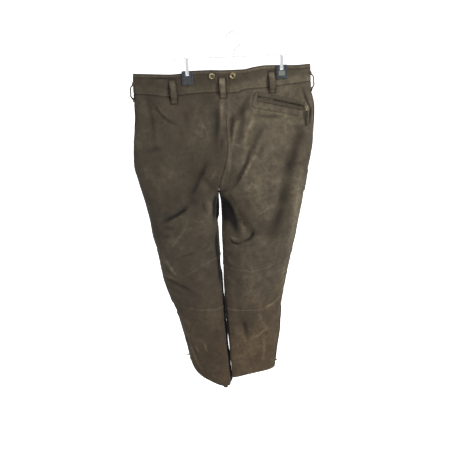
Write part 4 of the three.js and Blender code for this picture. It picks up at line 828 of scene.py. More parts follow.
def panel(one, name, node, turns, top, bottom, middle, wall, rounded):
    """A finished leather panel over its solid; middle lists the heights its rows pass through."""
    probe = sum(turns) / 2
    ends = np.cumsum([0, *EDGE_STEPS])
    inset = ends[-1]
    levels = [float(top(probe)) - inset, *middle, float(bottom(probe)) + inset]
    plan = row_plan(levels)
    share = turns[1] - turns[0]
    wide = max(float(one.length(probe, z)) for z in np.linspace(levels[0], levels[-1], 5)) * share
    inner_cells = max(4, round((wide - 2 * inset) / CELL))

    def heights(turn):
        """Heights of the rows where the columns' turns are given, as turn[column, row]."""
        rows = []
        for j in range(turn.shape[1]):
            t = turn[:, j]
            if j < len(ends) - 1:
                rows.append(top(t) - ends[j])
            elif j >= turn.shape[1] - len(ends):
                rows.append(bottom(t) + ends[turn.shape[1] - 1 - j])
            else:
                k, part = plan[j - len(ends) + 1]
                high = top(t) - inset if k == 0 else np.full(t.shape, levels[k])
                low = bottom(t) + inset if k == len(levels) - 2 else np.full(t.shape, levels[k + 1])
                rows.append(high + (low - high) * part)
        return np.stack(rows, 1)

    def spots(z):
        """Turns of the columns at heights z[column, row]: set distances at the edges, even between."""
        per_turn = one.length(probe, z)[0]
        full = per_turn * share
        rim = ends[:, None] * np.minimum(1, full / (3.2 * inset))
        even = np.linspace(0, 1, inner_cells + 1)[:, None]
        middle_part = rim[-1] + (full - 2 * rim[-1]) * even
        along = np.concatenate([rim[:-1], middle_part, full - rim[-2::-1]])
        return turns[0] + along / per_turn
    columns = inner_cells + 1 + 2 * (len(ends) - 1)
    count = 2 * len(ends) - 1 + len(plan)
    turn = np.broadcast_to(np.linspace(*turns, columns)[:, None], (columns, count))
    for _ in range(4):
        turn = spots(heights(turn))
    point, normal, tone = surface(one, turn, heights(turn))
    under = point - normal * wall
    if rounded:
        for k, cut in enumerate((0.9, 0.25)):
            j = k if rounded == "top" else count - 1 - k
            point[:, j] -= normal[:, j] * cut
            under[:, j] += normal[:, j] * cut
    # the tone holds painted light and shade as well as the nap
    made = shell(name, point, under, one.sign > 0, tone + nap_and_painted_light(point))
    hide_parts(node)
    return made


def nap_and_painted_light(p):
    """Broad changes of the nap, and the right half lighter: partly its nap and partly painted light from the
    right.
    """
    mottled = 0.16 * noise(p / (80, 90, 100) + 1.7) + 0.12 * noise(p / 26 + 4.4)
    return 0.1 * smooth(p[..., 0], -40, 60) + mottled


BODY = "trousers"
cloth = []
for one in HALVES.values():
    for face, turns in (("back", (0.0, 0.5)), ("front", (0.5, 1.0))):
        side = one.name
        stretches = [
            (f"waistband_{face}_{side}", one.band_top, one.band_seam, [], BAND_WALL, "top"),
            (f"{face}_thigh_{side}", one.band_seam, one.knee, [FORK_TOP, CROTCH_Z], WALL, ""),
            (f"{face}_knee_{side}", one.knee, one.calf, [], WALL, ""),
            (f"{face}_calf_{side}", one.calf, one.hem, [], WALL, "bottom"),
        ]
        held_by = f"hanger_pad_{face}_{side}"
        for node, top, bottom, middle, wall, rounded in stretches:
            made = panel(one, f"leather_{node}", node, turns, top, bottom, middle, wall, rounded)
            cloth.append((made, node, held_by))
            held_by = made.name


# ---- materials ----
def linear(red, green, blue):
    """A screen colour, 0 to 255, as linear light."""
    values = [v / 255 for v in (red, green, blue)]
    return (*[v / 12.92 if v <= 0.04045 else ((v + 0.055) / 1.055) ** 2.4 for v in values], 1.0)


class Shader:
    """Short ways to add and join shader nodes."""

    def __init__(self, name):
        self.material = bpy.data.materials.new(name)
        self.material.use_nodes = True
        self.tree = self.material.node_tree
        self.surface = self.tree.nodes["Principled BSDF"]

    def feed(self, socket, value):
        """Join a socket to another one, or set its value."""
        if isinstance(value, bpy.types.NodeSocket):
            self.tree.links.new(value, socket)
        else:
            socket.default_value = value

    def add(self, kind, inputs=(), **settings):
        node = self.tree.nodes.new(kind)
        for key, value in settings.items():
            setattr(node, key, value)
        for key, value in dict(inputs).items():
            self.feed(node.inputs[key], value)
        return node

    def coordinates(self):
        return self.add("ShaderNodeTexCoord").outputs["Object"]

    def noise(self, scale, detail=3.0, rough=0.55):
        inputs = {"Vector": self.coordinates(), "Scale": scale, "Detail": detail, "Roughness": rough}
        return self.add("ShaderNodeTexNoise", inputs).outputs[0]

    def math(self, operation, a, b, clamp=False):
        return self.add("ShaderNodeMath", {0: a, 1: b}, operation=operation, use_clamp=clamp).outputs[0]

    def remap(self, value, low, high, to_low, to_high):
        inputs = {"Value": value, "From Min": low, "From Max": high, "To Min": to_low, "To Max": to_high}
        return self.add("ShaderNodeMapRange", inputs).outputs["Result"]

    def mix(self, factor, a, b, blend="MIX"):
        """A mix of colours a and b; the mix node's colour sockets are numbers 6 and 7."""
        inputs = {0: factor, 6: a, 7: b}
        return self.add("ShaderNodeMix", inputs, data_type="RGBA", blend_type=blend).outputs[2]

    def bump(self, height, distance, **more):
        inputs = {"Height": height, "Distance": distance, "Strength": 1.0, **more}
        return self.add("ShaderNodeBump", inputs).outputs["Normal"]

    def set(self, **inputs):
        for key, value in inputs.items():
            self.feed(self.surface.inputs[key.replace("_", " ")], value)
        return self.material


def nubuck(name, base, worn, dark):
    """Matt brushed leather: mottled nap, lighter where it is rubbed and where highlight is painted, and
    darker where shade is painted in the creases.
    """
    m = Shader(name)
    mottle = m.noise(75, 4.0, 0.65)
    fleck = m.noise(420, 3.0, 0.7)
    tone = m.add("ShaderNodeAttribute", attribute_name="tone").outputs["Fac"]
    # the tone above 0 mixes in the worn colour: rubbed wear and painted highlight
    rubbed_and_lit = m.math("MULTIPLY", m.remap(tone, 0.0, 0.5, 0.0, 1.0), m.remap(mottle, 0.3, 0.75, 0.45, 1.35))
    blotch = m.remap(m.noise(14, 4.0, 0.6), 0.5, 0.8, 0.0, 0.4)
    patches = m.math("MULTIPLY", blotch, m.remap(mottle, 0.4, 0.7, 0.1, 1.0))
    colour = m.mix(m.math("ADD", rubbed_and_lit, patches, clamp=True), base, worn)
    # the tone below 0 mixes in the dark colour: painted shade
    colour = m.mix(m.remap(tone, 0.0, -0.62, 0.0, 1.0), colour, dark)
    light = m.math("MULTIPLY", m.remap(mottle, 0.25, 0.75, 0.84, 1.16), m.remap(fleck, 0.3, 0.7, 0.9, 1.1))
    colour = m.add("ShaderNodeHueSaturation", {"Color": colour, "Value": light}).outputs["Color"]
    down = m.add("ShaderNodeSeparateXYZ", {"Vector": m.coordinates()}).outputs["Z"]
    tan = m.mix(1.0, colour, (1.12, 0.96, 0.82, 1.0), "MULTIPLY")
    colour = m.mix(m.remap(down, -0.68, -0.95, 0.0, 1.0), colour, tan)
    soft = m.bump(m.noise(180, 5.0, 0.6), 0.0011)
    grain = m.bump(m.noise(1300, 3.0, 0.7), 0.00028, Normal=soft)
    return m.set(Base_Color=colour, Roughness=0.9, Sheen_Weight=0.12, Sheen_Roughness=0.45,
                 Specular_IOR_Level=0.2, Normal=grain)


# ---- looks ----
# colours of the nap, of rubbed wear and painted highlight, and of the painted shade
LEATHER = nubuck("nubuck", linear(75, 67, 55), linear(126, 115, 95), linear(20, 17, 15))


def plain(name, colour, roughness, metallic, scale, depth, dark, **more):
    """A lightly mottled material with a fine bump."""
    m = Shader(name)
    worn = m.remap(m.noise(scale * 0.2, 4.0, 0.6), 0.35, 0.7, 0.0, 1.0)
    shaded = (*[v * dark for v in colour[:3]], 1.0)
    duller = m.remap(worn, 0.0, 1.0, min(1, roughness * 1.15), roughness)
    return m.set(Base_Color=m.mix(worn, shaded, colour), Roughness=duller, Metallic=metallic,
                 Normal=m.bump(m.noise(scale), depth), **more)


BRASS = plain("antique_brass", linear(168, 156, 122), 0.4, 1.0, 700, 0.00008, 0.4)
DARK_METAL = plain("dark_zip_metal", linear(80, 74, 62), 0.42, 1.0, 900, 0.00008, 0.5)
STEEL = plain("drawn_steel", linear(240, 242, 245), 0.3, 0.6, 500, 0.00004, 0.9)
PLASTIC = plain("dark_plastic", linear(52, 55, 60), 0.46, 0.0, 1500, 0.00006, 0.85)
PALE_PLASTIC = plain("grey_green_plastic", linear(116, 122, 112), 0.5, 0.0, 1500, 0.00006, 0.85)
THREAD = plain("tan_thread", linear(98, 86, 68), 0.8, 0.0, 2500, 0.0001, 0.8, Sheen_Weight=0.2)
DARK_THREAD = plain("dark_thread", linear(66, 57, 44), 0.8, 0.0, 2500, 0.0001, 0.8, Sheen_Weight=0.2)


def woven(name, colour):
    """Zip tape: a fine herringbone of dark threads."""
    m = Shader(name)
    waves = []
    for turn in (0.8, -0.8):
        vector = m.add("ShaderNodeMapping", {"Vector": m.coordinates(), "Rotation": (0, turn, 0)}).outputs[0]
        inputs = {"Vector": vector, "Scale": 420, "Distortion": 0.4}
        waves.append(m.add("ShaderNodeTexWave", inputs, wave_profile="SIN").outputs["Fac"])
    ribs = m.math("MULTIPLY", *waves)
    dark = (*[v * 0.5 for v in colour[:3]], 1.0)
    return m.set(Base_Color=m.mix(ribs, dark, colour), Roughness=0.95, Normal=m.bump(ribs, 0.00025),
                 Sheen_Weight=0.15)


TAPE = woven("zip_tape", linear(44, 38, 31))


def finish(made, material, body=BODY, nodes=()):
    """Give a piece its material and its body, and hide the nodes that it stands for."""
    made.data.materials.append(material)
    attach(made, body)
    if nodes:
        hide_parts(*nodes)
    return made


for made, node, held_by in cloth:
    finish(made, LEATHER)


# ---- stitches ----
# rings of a thread from end to end: place along its length, size, height above the leather
THREAD_RINGS = [(-0.5, 0.25, -0.2), (-0.22, 1.0, 0.5), (0.22, 1.0, 0.5), (0.5, 0.25, -0.2)]


def stitch_points(path, normals, pitch, length, radius):
    """Points and faces of small threads along a path lying on the leather."""
    run = run_along(path)
    count = int(run[-1] // pitch)
    at = (np.arange(count) + 0.5) * run[-1] / count
    middle = read_along(path, run, at)
    along = unit(read_along(path, run, at + length / 2) - read_along(path, run, at - length / 2))
    up = unit(read_along(normals, run, at))
    side = np.cross(along, up)
    points = []
    for share, size, height in THREAD_RINGS:
        centre = middle + along * length * share + up * radius * height
        for angle in np.arange(5) * 2 * np.pi / 5 + 0.3:
            points.append(centre + (side * math.cos(angle) + up * math.sin(angle)) * radius * size)
    faces = []
    for o in range(0, count * 20, 20):
        faces.append((o + 4, o + 3, o + 2, o + 1, o))
        faces.append((o + 15, o + 16, o + 17, o + 18, o + 19))
        for ring in range(o, o + 15, 5):
            for k in range(5):
                m = (k + 1) % 5
                faces.append((ring + k, ring + m, ring + 5 + m, ring + 5 + k))
    return np.stack(points, 1).reshape(-1, 3), faces


def sew(name, paths, material=THREAD, stitch=STITCH):
    """One piece holding the stitches of several paths, each a pair of points and normals."""
    points, faces = merged([stitch_points(*path, **stitch) for path in paths])
    return finish(make_mesh(name, points, faces), material)


def seam_path(one, turns, height_of, offset, count=160):
    """A path along a seam at a height that depends on the turn, moved down by offset."""
    turn = np.linspace(*turns, count)
    return on_side(one, turn, height_of(turn) - offset, THREAD_LIFT)


def upright_path(one, offset, from_side, heights, count=90):
    """A path beside the centre seam or the side seam, offset mm away, on the front if that is below 0."""
    z = np.linspace(*heights, count)
    turn = abs(offset) / one.length(0.25 if offset > 0 else 0.75, z)
    if from_side:
        turn = 0.5 - turn
    return on_side(one, turn if offset > 0 else 1 - turn, z, THREAD_LIFT)


def path_on(at, u, v, height):
    """A path at shares u and v of a laid piece's width and length, height above its lower side."""
    points, normals = at(*np.broadcast_arrays(u, v))
    return points + normals * height, normals


for one in HALVES.values():
    side = one.name
    band_turns = (0.004, 0.996)
    sew(f"stitches_waistband_{side}", [
        seam_path(one, band_turns, one.band_top, BAND_STITCHES[0]),
        seam_path(one, band_turns, one.band_seam, -BAND_STITCHES[1], 200),
    ])
    for seam in ("knee", "calf"):
        paths = [seam_path(one, (0.0, 1.0), getattr(one, seam), offset) for offset in SEAM_STITCHES]
        sew(f"stitches_{seam}_{side}", paths)
    paths = [seam_path(one, turns, one.hem, -HEM_DEPTH) for turns in ((0.0, 0.484), (0.506, 1.0))]
    sew(f"stitches_hem_{side}", paths, DARK_THREAD)
    sew(f"stitches_side_{side}", [
        upright_path(one, 4.0, True, (-62, -275)), upright_path(one, 4.0, True, (-360, -740), 140),
    ], DARK_THREAD)
sew("stitches_seat_seam", [
    upright_path(right_half, 2.4, False, (-60, -318)), upright_path(right_half, 7.2, False, (-60, -300)),
])
sew("stitches_front_seam", [upright_path(right_half, -2.4, False, (-222, -318))])


# ---- laid pieces ----
def steps(width):
    """Shares of a width: close together at both edges and where the edge stitching runs."""
    ends = [0, 0.35, 0.9, 1.6] if width < 9 else [0, 0.4, 1.0, 1.7, 2.4, 3.1]
    count = max(1, round((width - 2 * ends[-1]) / LAID_CELL))
    middle = np.linspace(ends[-1], width - ends[-1], count + 1)
    return np.array([*ends[:-1], *middle, *[width - e for e in ends[-2::-1]]]) / width


def laid(name, at, size, thickness, tone=0.0, rows=None, round_edge=1.6, edge_tone=0.2, grooves=True):
    """A closed piece: at(u, v) gives points and normals under it; size is its width and length."""
    width, length = size
    v = steps(length) if rows is None else np.linspace(0, 1, rows)
    grid_u, grid_v = np.meshgrid(steps(width), v, indexing="ij")
    under, normal = at(grid_u, grid_v)
    to_side = np.minimum(grid_u, 1 - grid_u) * width
    edge = np.minimum(to_side, np.minimum(grid_v, 1 - grid_v) * length)
    rounded = np.sqrt(1 - (1 - np.clip(edge / round_edge, 0, 1)) ** 2)
    stitched = bell(to_side - STITCH_INSET, 0.75) * grooves
    height = thickness * (0.5 + 0.5 * rounded) - 0.3 * stitched
    over = under + normal * height[..., None]
    # edge_tone above 0 is rubbed wear along the edges, and below 0 painted shade
    shade = tone + 0.12 * noise(over / 14 + 2.2) + edge_tone * bell(edge, 1.5) - 0.12 * stitched
    turned = np.cross(over[1, 0] - over[0, 0], over[0, 1] - over[0, 0])
    return shell(name, over, under, np.dot(turned, normal[0, 0]) < 0, shade, 0.3)


def leather(name, node, at, size, thickness, tone, slot="leather", body=BODY, **form):
    """A laid piece of leather that stands for one node."""
    made = laid(f"leather_{name}", at, size, thickness, tone, **form)
    return finish(made, LEATHER, body, [node])


def loop_lift(v):
    """How far a belt loop lies off the leather, along its length; it is sewn down at both ends."""
    return LIFT + LOOP["stand"] * smooth(np.minimum(v, 1 - v), LOOP["sewn"], LOOP["sewn"] + LOOP["bend"])


def loop_at(back, top, bottom):
    """Points and normals under a loop whose middle line runs from top to bottom, each an x and z."""
    def at(u, v):
        x = top[0] + (bottom[0] - top[0]) * v + (u - 0.5) * LOOP["width"] * (1 if back else -1)
        z = top[1] + (bottom[1] - top[1]) * v
        middle, normal = place(back, (top[0] + bottom[0]) / 2, z)
        point, _ = place(back, x, z)
        out = loop_lift(v) / (LIFT + LOOP["stand"])
        # off the leather the loop is flatter across than the form below it
        level = ((middle - point) * normal).sum(-1) * (0.6 * out * (out > 0.3))
        return point + normal * (level + loop_lift(v))[..., None], normal
    return at


def side_loop_at(one, top, bottom):
    """Points and normals under the loop on a side seam, which stands straight out sideways."""
    def at(u, v):
        z = top + (bottom - top) * v
        point, normal = on_side(one, 0.5 + (u - 0.5) * 2 * SIDE_LOOP["half_turn"], z, SIDE_LOOP["lift"])
        seam, _ = on_side(one, 0.5, z, SIDE_LOOP["lift"])
        out = (loop_lift(v) - LIFT) / LOOP["stand"]
        point[..., 0] += (seam[..., 0] - point[..., 0] + one.sign * SIDE_LOOP["stand"]) * out
        normal = normal * (1 - out)[..., None]
        normal[..., 0] += one.sign * out
        return point, unit(normal)
    return at


for name, back, top, bottom, tone in LOOPS:
    at = loop_at(back, top, bottom)
    size = (LOOP["width"], top[1] - bottom[1])
    # a negative edge_tone darkens the loops' edges: painted shadow
    leather(f"loop_{name}", f"belt_loop_{name}", at, size, LOOP["thickness"] - 0.2, tone, "leather_light",
            rows=44, edge_tone=-0.4)
    inset = STITCH_INSET / LOOP["width"]
    paths = [path_on(at, u, np.linspace(0.03, 0.97, 40), LOOP["thickness"] - 0.5) for u in (inset, 1 - inset)]
    across = np.linspace(0.15, 0.85, 12)
    paths += [path_on(at, across, v, LOOP["thickness"] - 0.3) for v in (0.03, 0.06, 0.94, 0.97)]
    sew(f"stitches_loop_{name}", paths, stitch=FINE_STITCH)
for one in HALVES.values():
    top, bottom = SIDE_LOOP[one.name]
    leather(f"loop_side_{one.name}", f"belt_loop_side_{one.name}", side_loop_at(one, top, bottom),
            (LOOP["width"], top - bottom), LOOP["thickness"] - 0.2, 0.0, "leather_light", rows=44)


# ---- front: overlap and fly ----
def overlap_at(u, v):
    x = OVERLAP["start"] + (OVERLAP["end"] - OVERLAP["start"]) * (1 - u)
    top = top_rise(x) - OVERLAP["margin"]
    bottom = band_foot(x) + OVERLAP["margin"]
    return place(False, x, top + (bottom - top) * v, LIFT)


def fly_at(u, v):
    z = FLY["top"] + (FLY["bottom"] - FLY["top"]) * v
    curved = np.maximum(0, v - FLY["curve_from"]) / (1 - FLY["curve_from"])
    width = FLY["tip"] + (FLY["width"] - FLY["tip"]) * np.sqrt(np.clip(1 - curved * curved, 0, 1))
    x = left_half.read["centre"](z) - 0.6 - width * (1 - u)
    return on_side(left_half, turn_at(left_half, False, x, z), z, LIFT * 1.6)


leather("overlap", "waistband_overlap", overlap_at, (OVERLAP["end"] - OVERLAP["start"], OVERLAP["length"]),
        BAND_WALL, 0.05)
leather("fly", "fly_flap", fly_at, (FLY["width"], FLY["top"] - FLY["bottom"]), WALL, 0.03, rows=60)
down = np.linspace(0.02, 0.99, 70)
sew("stitches_fly", [path_on(fly_at, 0.09, down, WALL - 0.3), path_on(fly_at, 0.24, down, WALL)])


# ---- back pocket ----
def pocket_at(offset, width):
    """Points and normals under a strip along the pocket, offset mm above its middle line."""
    def at(u, v):
        across = offset + (u - 0.5) * width
        x = POCKET_LEFT[0] + POCKET_RUN[0] * v * POCKET_LENGTH + POCKET_ACROSS[0] * across
        z = POCKET_LEFT[1] + POCKET_RUN[1] * v * POCKET_LENGTH + POCKET_ACROSS[1] * across
        return place(True, x, z, LIFT * 1.8)
    return at


for name, side, edge in (("upper", 1, 0.72), ("lower", -1, 0.28)):
    at = pocket_at(side * WELT["offset"], WELT["width"])
    leather(f"welt_{name}", f"back_pocket_welt_{name}", at, (WELT["width"], POCKET_LENGTH), WELT["thickness"],
            -0.04, rows=64, grooves=False, edge_tone=0.0)
    path = path_on(at, edge, np.linspace(0.01, 0.99, 90), WELT["thickness"] - 0.1)
    sew(f"stitches_welt_{name}", [path], stitch=FINE_STITCH)
sew("stitches_pocket_bag", [place(True, BAG_LINE[:, 0], BAG_LINE[:, 1], 0.15)])


def teeth(path, normals, reach, shift, wide):
    """Zip teeth: small blocks along a path that reach across it by wide, to the side that reach tells."""
    run = run_along(path)
    at = np.arange(shift * TOOTH["pitch"], run[-1], TOOTH["pitch"])
    centre, up = read_along(path, run, at), read_along(normals, run, at)
    along = unit(np.gradient(centre, axis=0))
    side = np.cross(along, up) * reach
    corner = np.array([(x, y, z) for x in (-0.5, 0.5) for y in (0, 1) for z in (0, 1)])
    long = corner[:, :1] * np.where(corner[:, 1:2] > 0.5, 0.7, 1.0) * TOOTH["long"]
    block = [(0, 1, 3, 2), (4, 6, 7, 5), (0, 4, 5, 1), (2, 3, 7, 6), (0, 2, 6, 4), (1, 5, 7, 3)]
    return merged([
        (c + long * a + corner[:, 1:2] * wide * w + corner[:, 2:] * TOOTH["high"] * n, block)
        for c, a, n, w in zip(centre, along, up, side)
    ])


def zip_piece(name, node, at, size):
    """A zip's tape with a row of teeth from each side; at(u, v) lies under it."""
    made = laid(f"tape_{name}", at, size, ZIP["thickness"] - 0.4, rows=60, round_edge=0.5, grooves=False)
    finish(made, TAPE, nodes=[node])
    down = np.linspace(0.005, 0.995, 160)
    rows = []
    for u, reach, shift in ((0.24, 1, 0.25), (0.76, -1, 0.75)):
        points, normals = path_on(at, u, down, 0.0)
        across = at(np.array([1.0]), down[:1])[0][0] - at(np.array([0.0]), down[:1])[0][0]
        sign = np.sign(np.dot(np.cross(points[1] - points[0], normals[0]), across))
        path = points + normals * (ZIP["thickness"] - 0.6)
        rows.append(teeth(path, normals, reach * sign, shift, size[0] * TOOTH["wide"]))
    finish(make_mesh(f"teeth_{name}", *merged(rows), smooth_shade=False), DARK_METAL)


zip_piece("pocket", "back_pocket_zip_tape", pocket_at(0.0, ZIP["width"]), (ZIP["width"], POCKET_LENGTH))


# ---- side pockets, tool pocket, hem zips and tab ----
def side_at(one, heights, turns, lift):
    """Points and normals under a piece on one half, from its first height and turn to its second."""
    def at(u, v):
        turn = turns[0] + (turns[1] - turns[0]) * u
        z = heights[0] + (heights[1] - heights[0]) * v
        return on_side(one, turn, z, lift(u, v) if callable(lift) else lift)
    return at


def gape(u, v):
    """How far a side pocket's edge lies off the leather."""
    return LIFT + SIDE_POCKET["gape"] * (1 - u) * np.sin(np.pi * v)


for one in HALVES.values():
    side = one.name
    top, bottom = SIDE_POCKET[side]
    at = side_at(one, (top, bottom), SIDE_POCKET["turns"], gape)
    leather(f"side_pocket_{side}", f"side_pocket_edge_{side}", at, (SIDE_POCKET["width"], top - bottom), 1.7,
            0.05, "leather_light", rows=50)
    sew(f"stitches_side_pocket_{side}", [path_on(at, 0.55, np.linspace(0.02, 0.98, 60), 1.75)])
    foot = float(one.hem(np.array(HEM_ZIP["slider_turn"]))) + HEM_ZIP["above"]
    at = side_at(one, (HEM_ZIP[side], foot), HEM_ZIP["turns"], LIFT * 1.6)
    zip_piece(f"hem_{side}", f"hem_zip_tape_{side}", at, (HEM_ZIP["width"], HEM_ZIP[side] - foot))
at = side_at(right_half, TOOL_POCKET["heights"], TOOL_POCKET["turns"], LIFT)
leather("tool_welt", "tool_pocket_welt", at, TOOL_POCKET["size"], 1.8, 0.1, "leather_light", rows=34)
foot = float(left_half.hem(np.array(HEM_TAB["turn"])))
tab_turns = (HEM_TAB["turn"] - HEM_TAB["half_turn"], HEM_TAB["turn"] + HEM_TAB["half_turn"])
at = side_at(left_half, (foot + HEM_TAB["above"], foot - HEM_TAB["below"]), tab_turns,
             -WALL - LIFT - HEM_TAB["thickness"])
tab_size = (HEM_TAB["width"], HEM_TAB["above"] + HEM_TAB["below"])
leather("hem_tab", "hem_tab", at, tab_size, HEM_TAB["thickness"], -0.25, "leather_dark")


# ---- turned and swept pieces ----
def turned_piece(name, at, axis, profile, sides, material, nodes=()):
    """A round piece about an axis through a point; profile lists radius and height."""
    across = unit(np.cross(axis, (0.0, 0.0, 1.0)))
    third = np.cross(axis, across)
    profile = np.array(profile, float)
    angles = np.arange(sides) * 2 * np.pi / sides
    ring = np.cos(angles)[:, None] * across + np.sin(angles)[:, None] * third
    points = at + ring[:, None, :] * profile[None, 1:-1, :1] + axis * profile[None, 1:-1, 1:]
    rows = len(profile) - 2
    points = points.reshape(-1, 3)
    faces = grid_faces(sides, rows, wrap=True)
    base = len(points)
    for i in range(sides):
        k = (i + 1) % sides
        faces.append((base, k * rows, i * rows))
        faces.append((base + 1, i * rows + rows - 1, k * rows + rows - 1))
    ends = [at + axis * profile[0, 1], at + axis * profile[-1, 1]]
    return finish(make_mesh(name, np.concatenate([points, ends]), faces), material, nodes=nodes)


# buttons: node, whether on the back, x, z, size, how far off the leather
BUTTONS = [
    ("brace_button_back_left", True, -36, -10, 1, LIFT),
    ("brace_button_back_right", True, 21, -11, 1, LIFT),
    ("brace_button_front_left_outer", False, -132, -12, 1, LIFT),
    ("brace_button_front_left_inner", False, -60, -8, 1, LIFT),
    ("brace_button_front_right_inner", False, 74, -6, 1, LIFT),
    ("brace_button_front_right_outer", False, 126, -1, 1, LIFT),
    ("waist_button", False, 34, -24, 1.15, LIFT * 2 + BAND_WALL),
]
for name, back, x, z, scale, lift in BUTTONS:
    r, h, shank, gap = BUTTON["radius"], BUTTON["height"], BUTTON["shank"], BUTTON["gap"]
    button = [
        (0, 0), (shank, 0), (shank, gap * 0.9), (r * 0.8, gap), (r * 0.95, gap + 0.35), (r, gap + 1.1),
        (r * 0.97, h - 0.5), (r * 0.88, h - 0.05), (r * 0.78, h), (r * 0.69, h - 0.35), (r * 0.62, h - 1.0),
        (r * 0.5, h - 1.35), (r * 0.4, h - 1.5), (0, h - 1.5),
    ]
    # a dark disc in the button's hollow centre: painted shade in the hole
    hole_shade = [(0, h - 1.5), (r * 0.46, h - 1.4), (r * 0.46, h - 1.2), (r * 0.4, h - 1.15), (0, h - 1.1)]
    point, normal = place(back, [x], [z], lift)
    turned_piece(f"brass_{name}", point[0], normal[0], np.array(button) * scale, 36, BRASS, [name])
    turned_piece(f"dark_eye_{name}", point[0], normal[0], np.array(hole_shade) * (1, scale), 24, DARK_METAL)


def tube(points, radius, sides=16):
    """Points and faces of a round bar along a line of points."""
    points = np.asarray(points, float)
    along = unit(np.gradient(points, axis=0))
    side = np.cross(along[0], (0.0, 1.0, 0.0))
    out = []
    angles = np.arange(sides) * 2 * np.pi / sides
    for centre, way, size in zip(points, along, np.broadcast_to(radius, len(points))):
        side = unit(side - way * np.dot(side, way))
        third = np.cross(way, side)
        out.append(centre + size * (np.cos(angles)[:, None] * side + np.sin(angles)[:, None] * third))
    rows = len(points)
    faces = grid_faces(sides, rows, wrap=True)
    faces.append(tuple(i * rows for i in range(sides))[::-1])
    faces.append(tuple(i * rows + rows - 1 for i in range(sides)))
    return np.stack(out, 1).reshape(-1, 3), faces


# ---- hanger ----
rod_ends = HANGER["half"] - np.array([0, 0.25, 0.9, 1.8])
rod_sizes = HANGER["rod_r"] * np.array([0.35, 0.75, 0.96, 1.0])
rod_x = np.concatenate([-rod_ends, np.linspace(-160, 160, 12), rod_ends[::-1]])
rod = np.stack([HANGER["x"] + rod_x, 0 * rod_x, HANGER["rod_z"] + 0 * rod_x], 1)
rod_radius = np.concatenate([rod_sizes, np.full(12, HANGER["rod_r"]), rod_sizes[::-1]])
bend = np.radians(np.linspace(-45, 205, 40))
hook_middle = np.array([0, HANGER["rod_z"] + HANGER["neck"] + HANGER["hook_r"]])
arc = hook_middle + HANGER["hook_r"] * np.stack([np.cos(bend), np.sin(bend)], 1)
neck = np.array([(0, HANGER["rod_z"]), (0, HANGER["rod_z"] + 12), (2.5, HANGER["rod_z"] + 20), arc[0]])
run = run_along(neck)
lower = read_along(neck, run, np.linspace(0, run[-1], 14)[:-1])
for _ in range(3):
    lower[1:-1] = (lower[:-2] + 2 * lower[1:-1] + lower[2:]) / 4
line = np.concatenate([lower, arc])
hook = np.stack([HANGER["x"] + line[:, 0], 0 * line[:, 0], line[:, 1]], 1)
hook_radius = np.full(len(hook), HANGER["wire_r"])
hook_radius[-1] *= 0.5
points, faces = merged([tube(rod, rod_radius, 20), tube(hook, hook_radius, 20)])
finish(make_mesh("steel_hanger", points, faces), STEEL, nodes=["hanger_wire"])


def swept(x, line, width, thickness):
    """Both sides of a flat bent strip about x: line lists its middle's y and z, and width runs along x."""
    along = unit(np.gradient(line, axis=0))
    out = np.stack([along[:, 1], -along[:, 0]], 1)
    shares = ((-0.5, 0.55), (-0.46, 0.95), (-0.25, 1), (0, 1), (0.25, 1), (0.46, 0.95), (0.5, 0.55))
    sides = np.empty((2, len(shares), len(line), 3))
    for i, (share, full) in enumerate(shares):
        for side, sign in zip(sides, (0.5, -0.5)):
            side[i, :, 0] = share * width + x
            side[i, :, 1:] = line + out * thickness * sign * full
    return sides


for name, x, rise in CLIPS:
    inner = PINCH["y"] + 2 * GAP
    radius = inner + CLIP["strap"] / 2
    centre = HANGER["rod_z"] + HANGER["rod_r"] + GAP - inner
    end = CLIP["top"] + rise - CLIP["notch_depth"] + GAP
    angles = np.linspace(np.pi, 0, 21)
    line = np.concatenate([
        np.stack([np.full(12, -radius), np.linspace(end, centre, 13)[:-1]], 1),
        np.stack([radius * np.cos(angles), centre + radius * np.sin(angles)], 1),
        np.stack([np.full(12, radius), np.linspace(centre, end, 13)[1:]], 1),
    ])
    over, under = swept(x, line, CLIP["notch_width"] - 2 * GAP, CLIP["strap"])
    made = shell(f"steel_strap_{name}", over, under, True, rim=0.1)
    finish(made, STEEL, nodes=[f"hanger_strap_{name}"])


def pad_outline(rise):
    """The pad's outline with rounded corners, as x, z points about the clip's centre."""
    half, top, bottom = CLIP["width"] / 2, CLIP["top"] + rise, CLIP["bottom"] + rise
    notch, floor = CLIP["notch_width"] / 2, CLIP["top"] + rise - CLIP["notch_depth"]
    corners = [
        (-half, bottom, 3.0), (half, bottom, 3.0), (half, top, 2.2), (notch, top, 0.9), (notch, floor, 1.2),
        (-notch, floor, 1.2), (-notch, top, 0.9), (-half, top, 2.2),
    ]
    path = []
    for k, (cx, cz, r) in enumerate(corners):
        corner = np.array((cx, cz))
        before, after = unit(corners[k - 1][:2] - corner), unit(corners[(k + 1) % len(corners)][:2] - corner)
        path += [corner + before * r * (1 - t) ** 2 + after * r * t ** 2 for t in np.linspace(0, 1, 6)]
    return np.array(path)


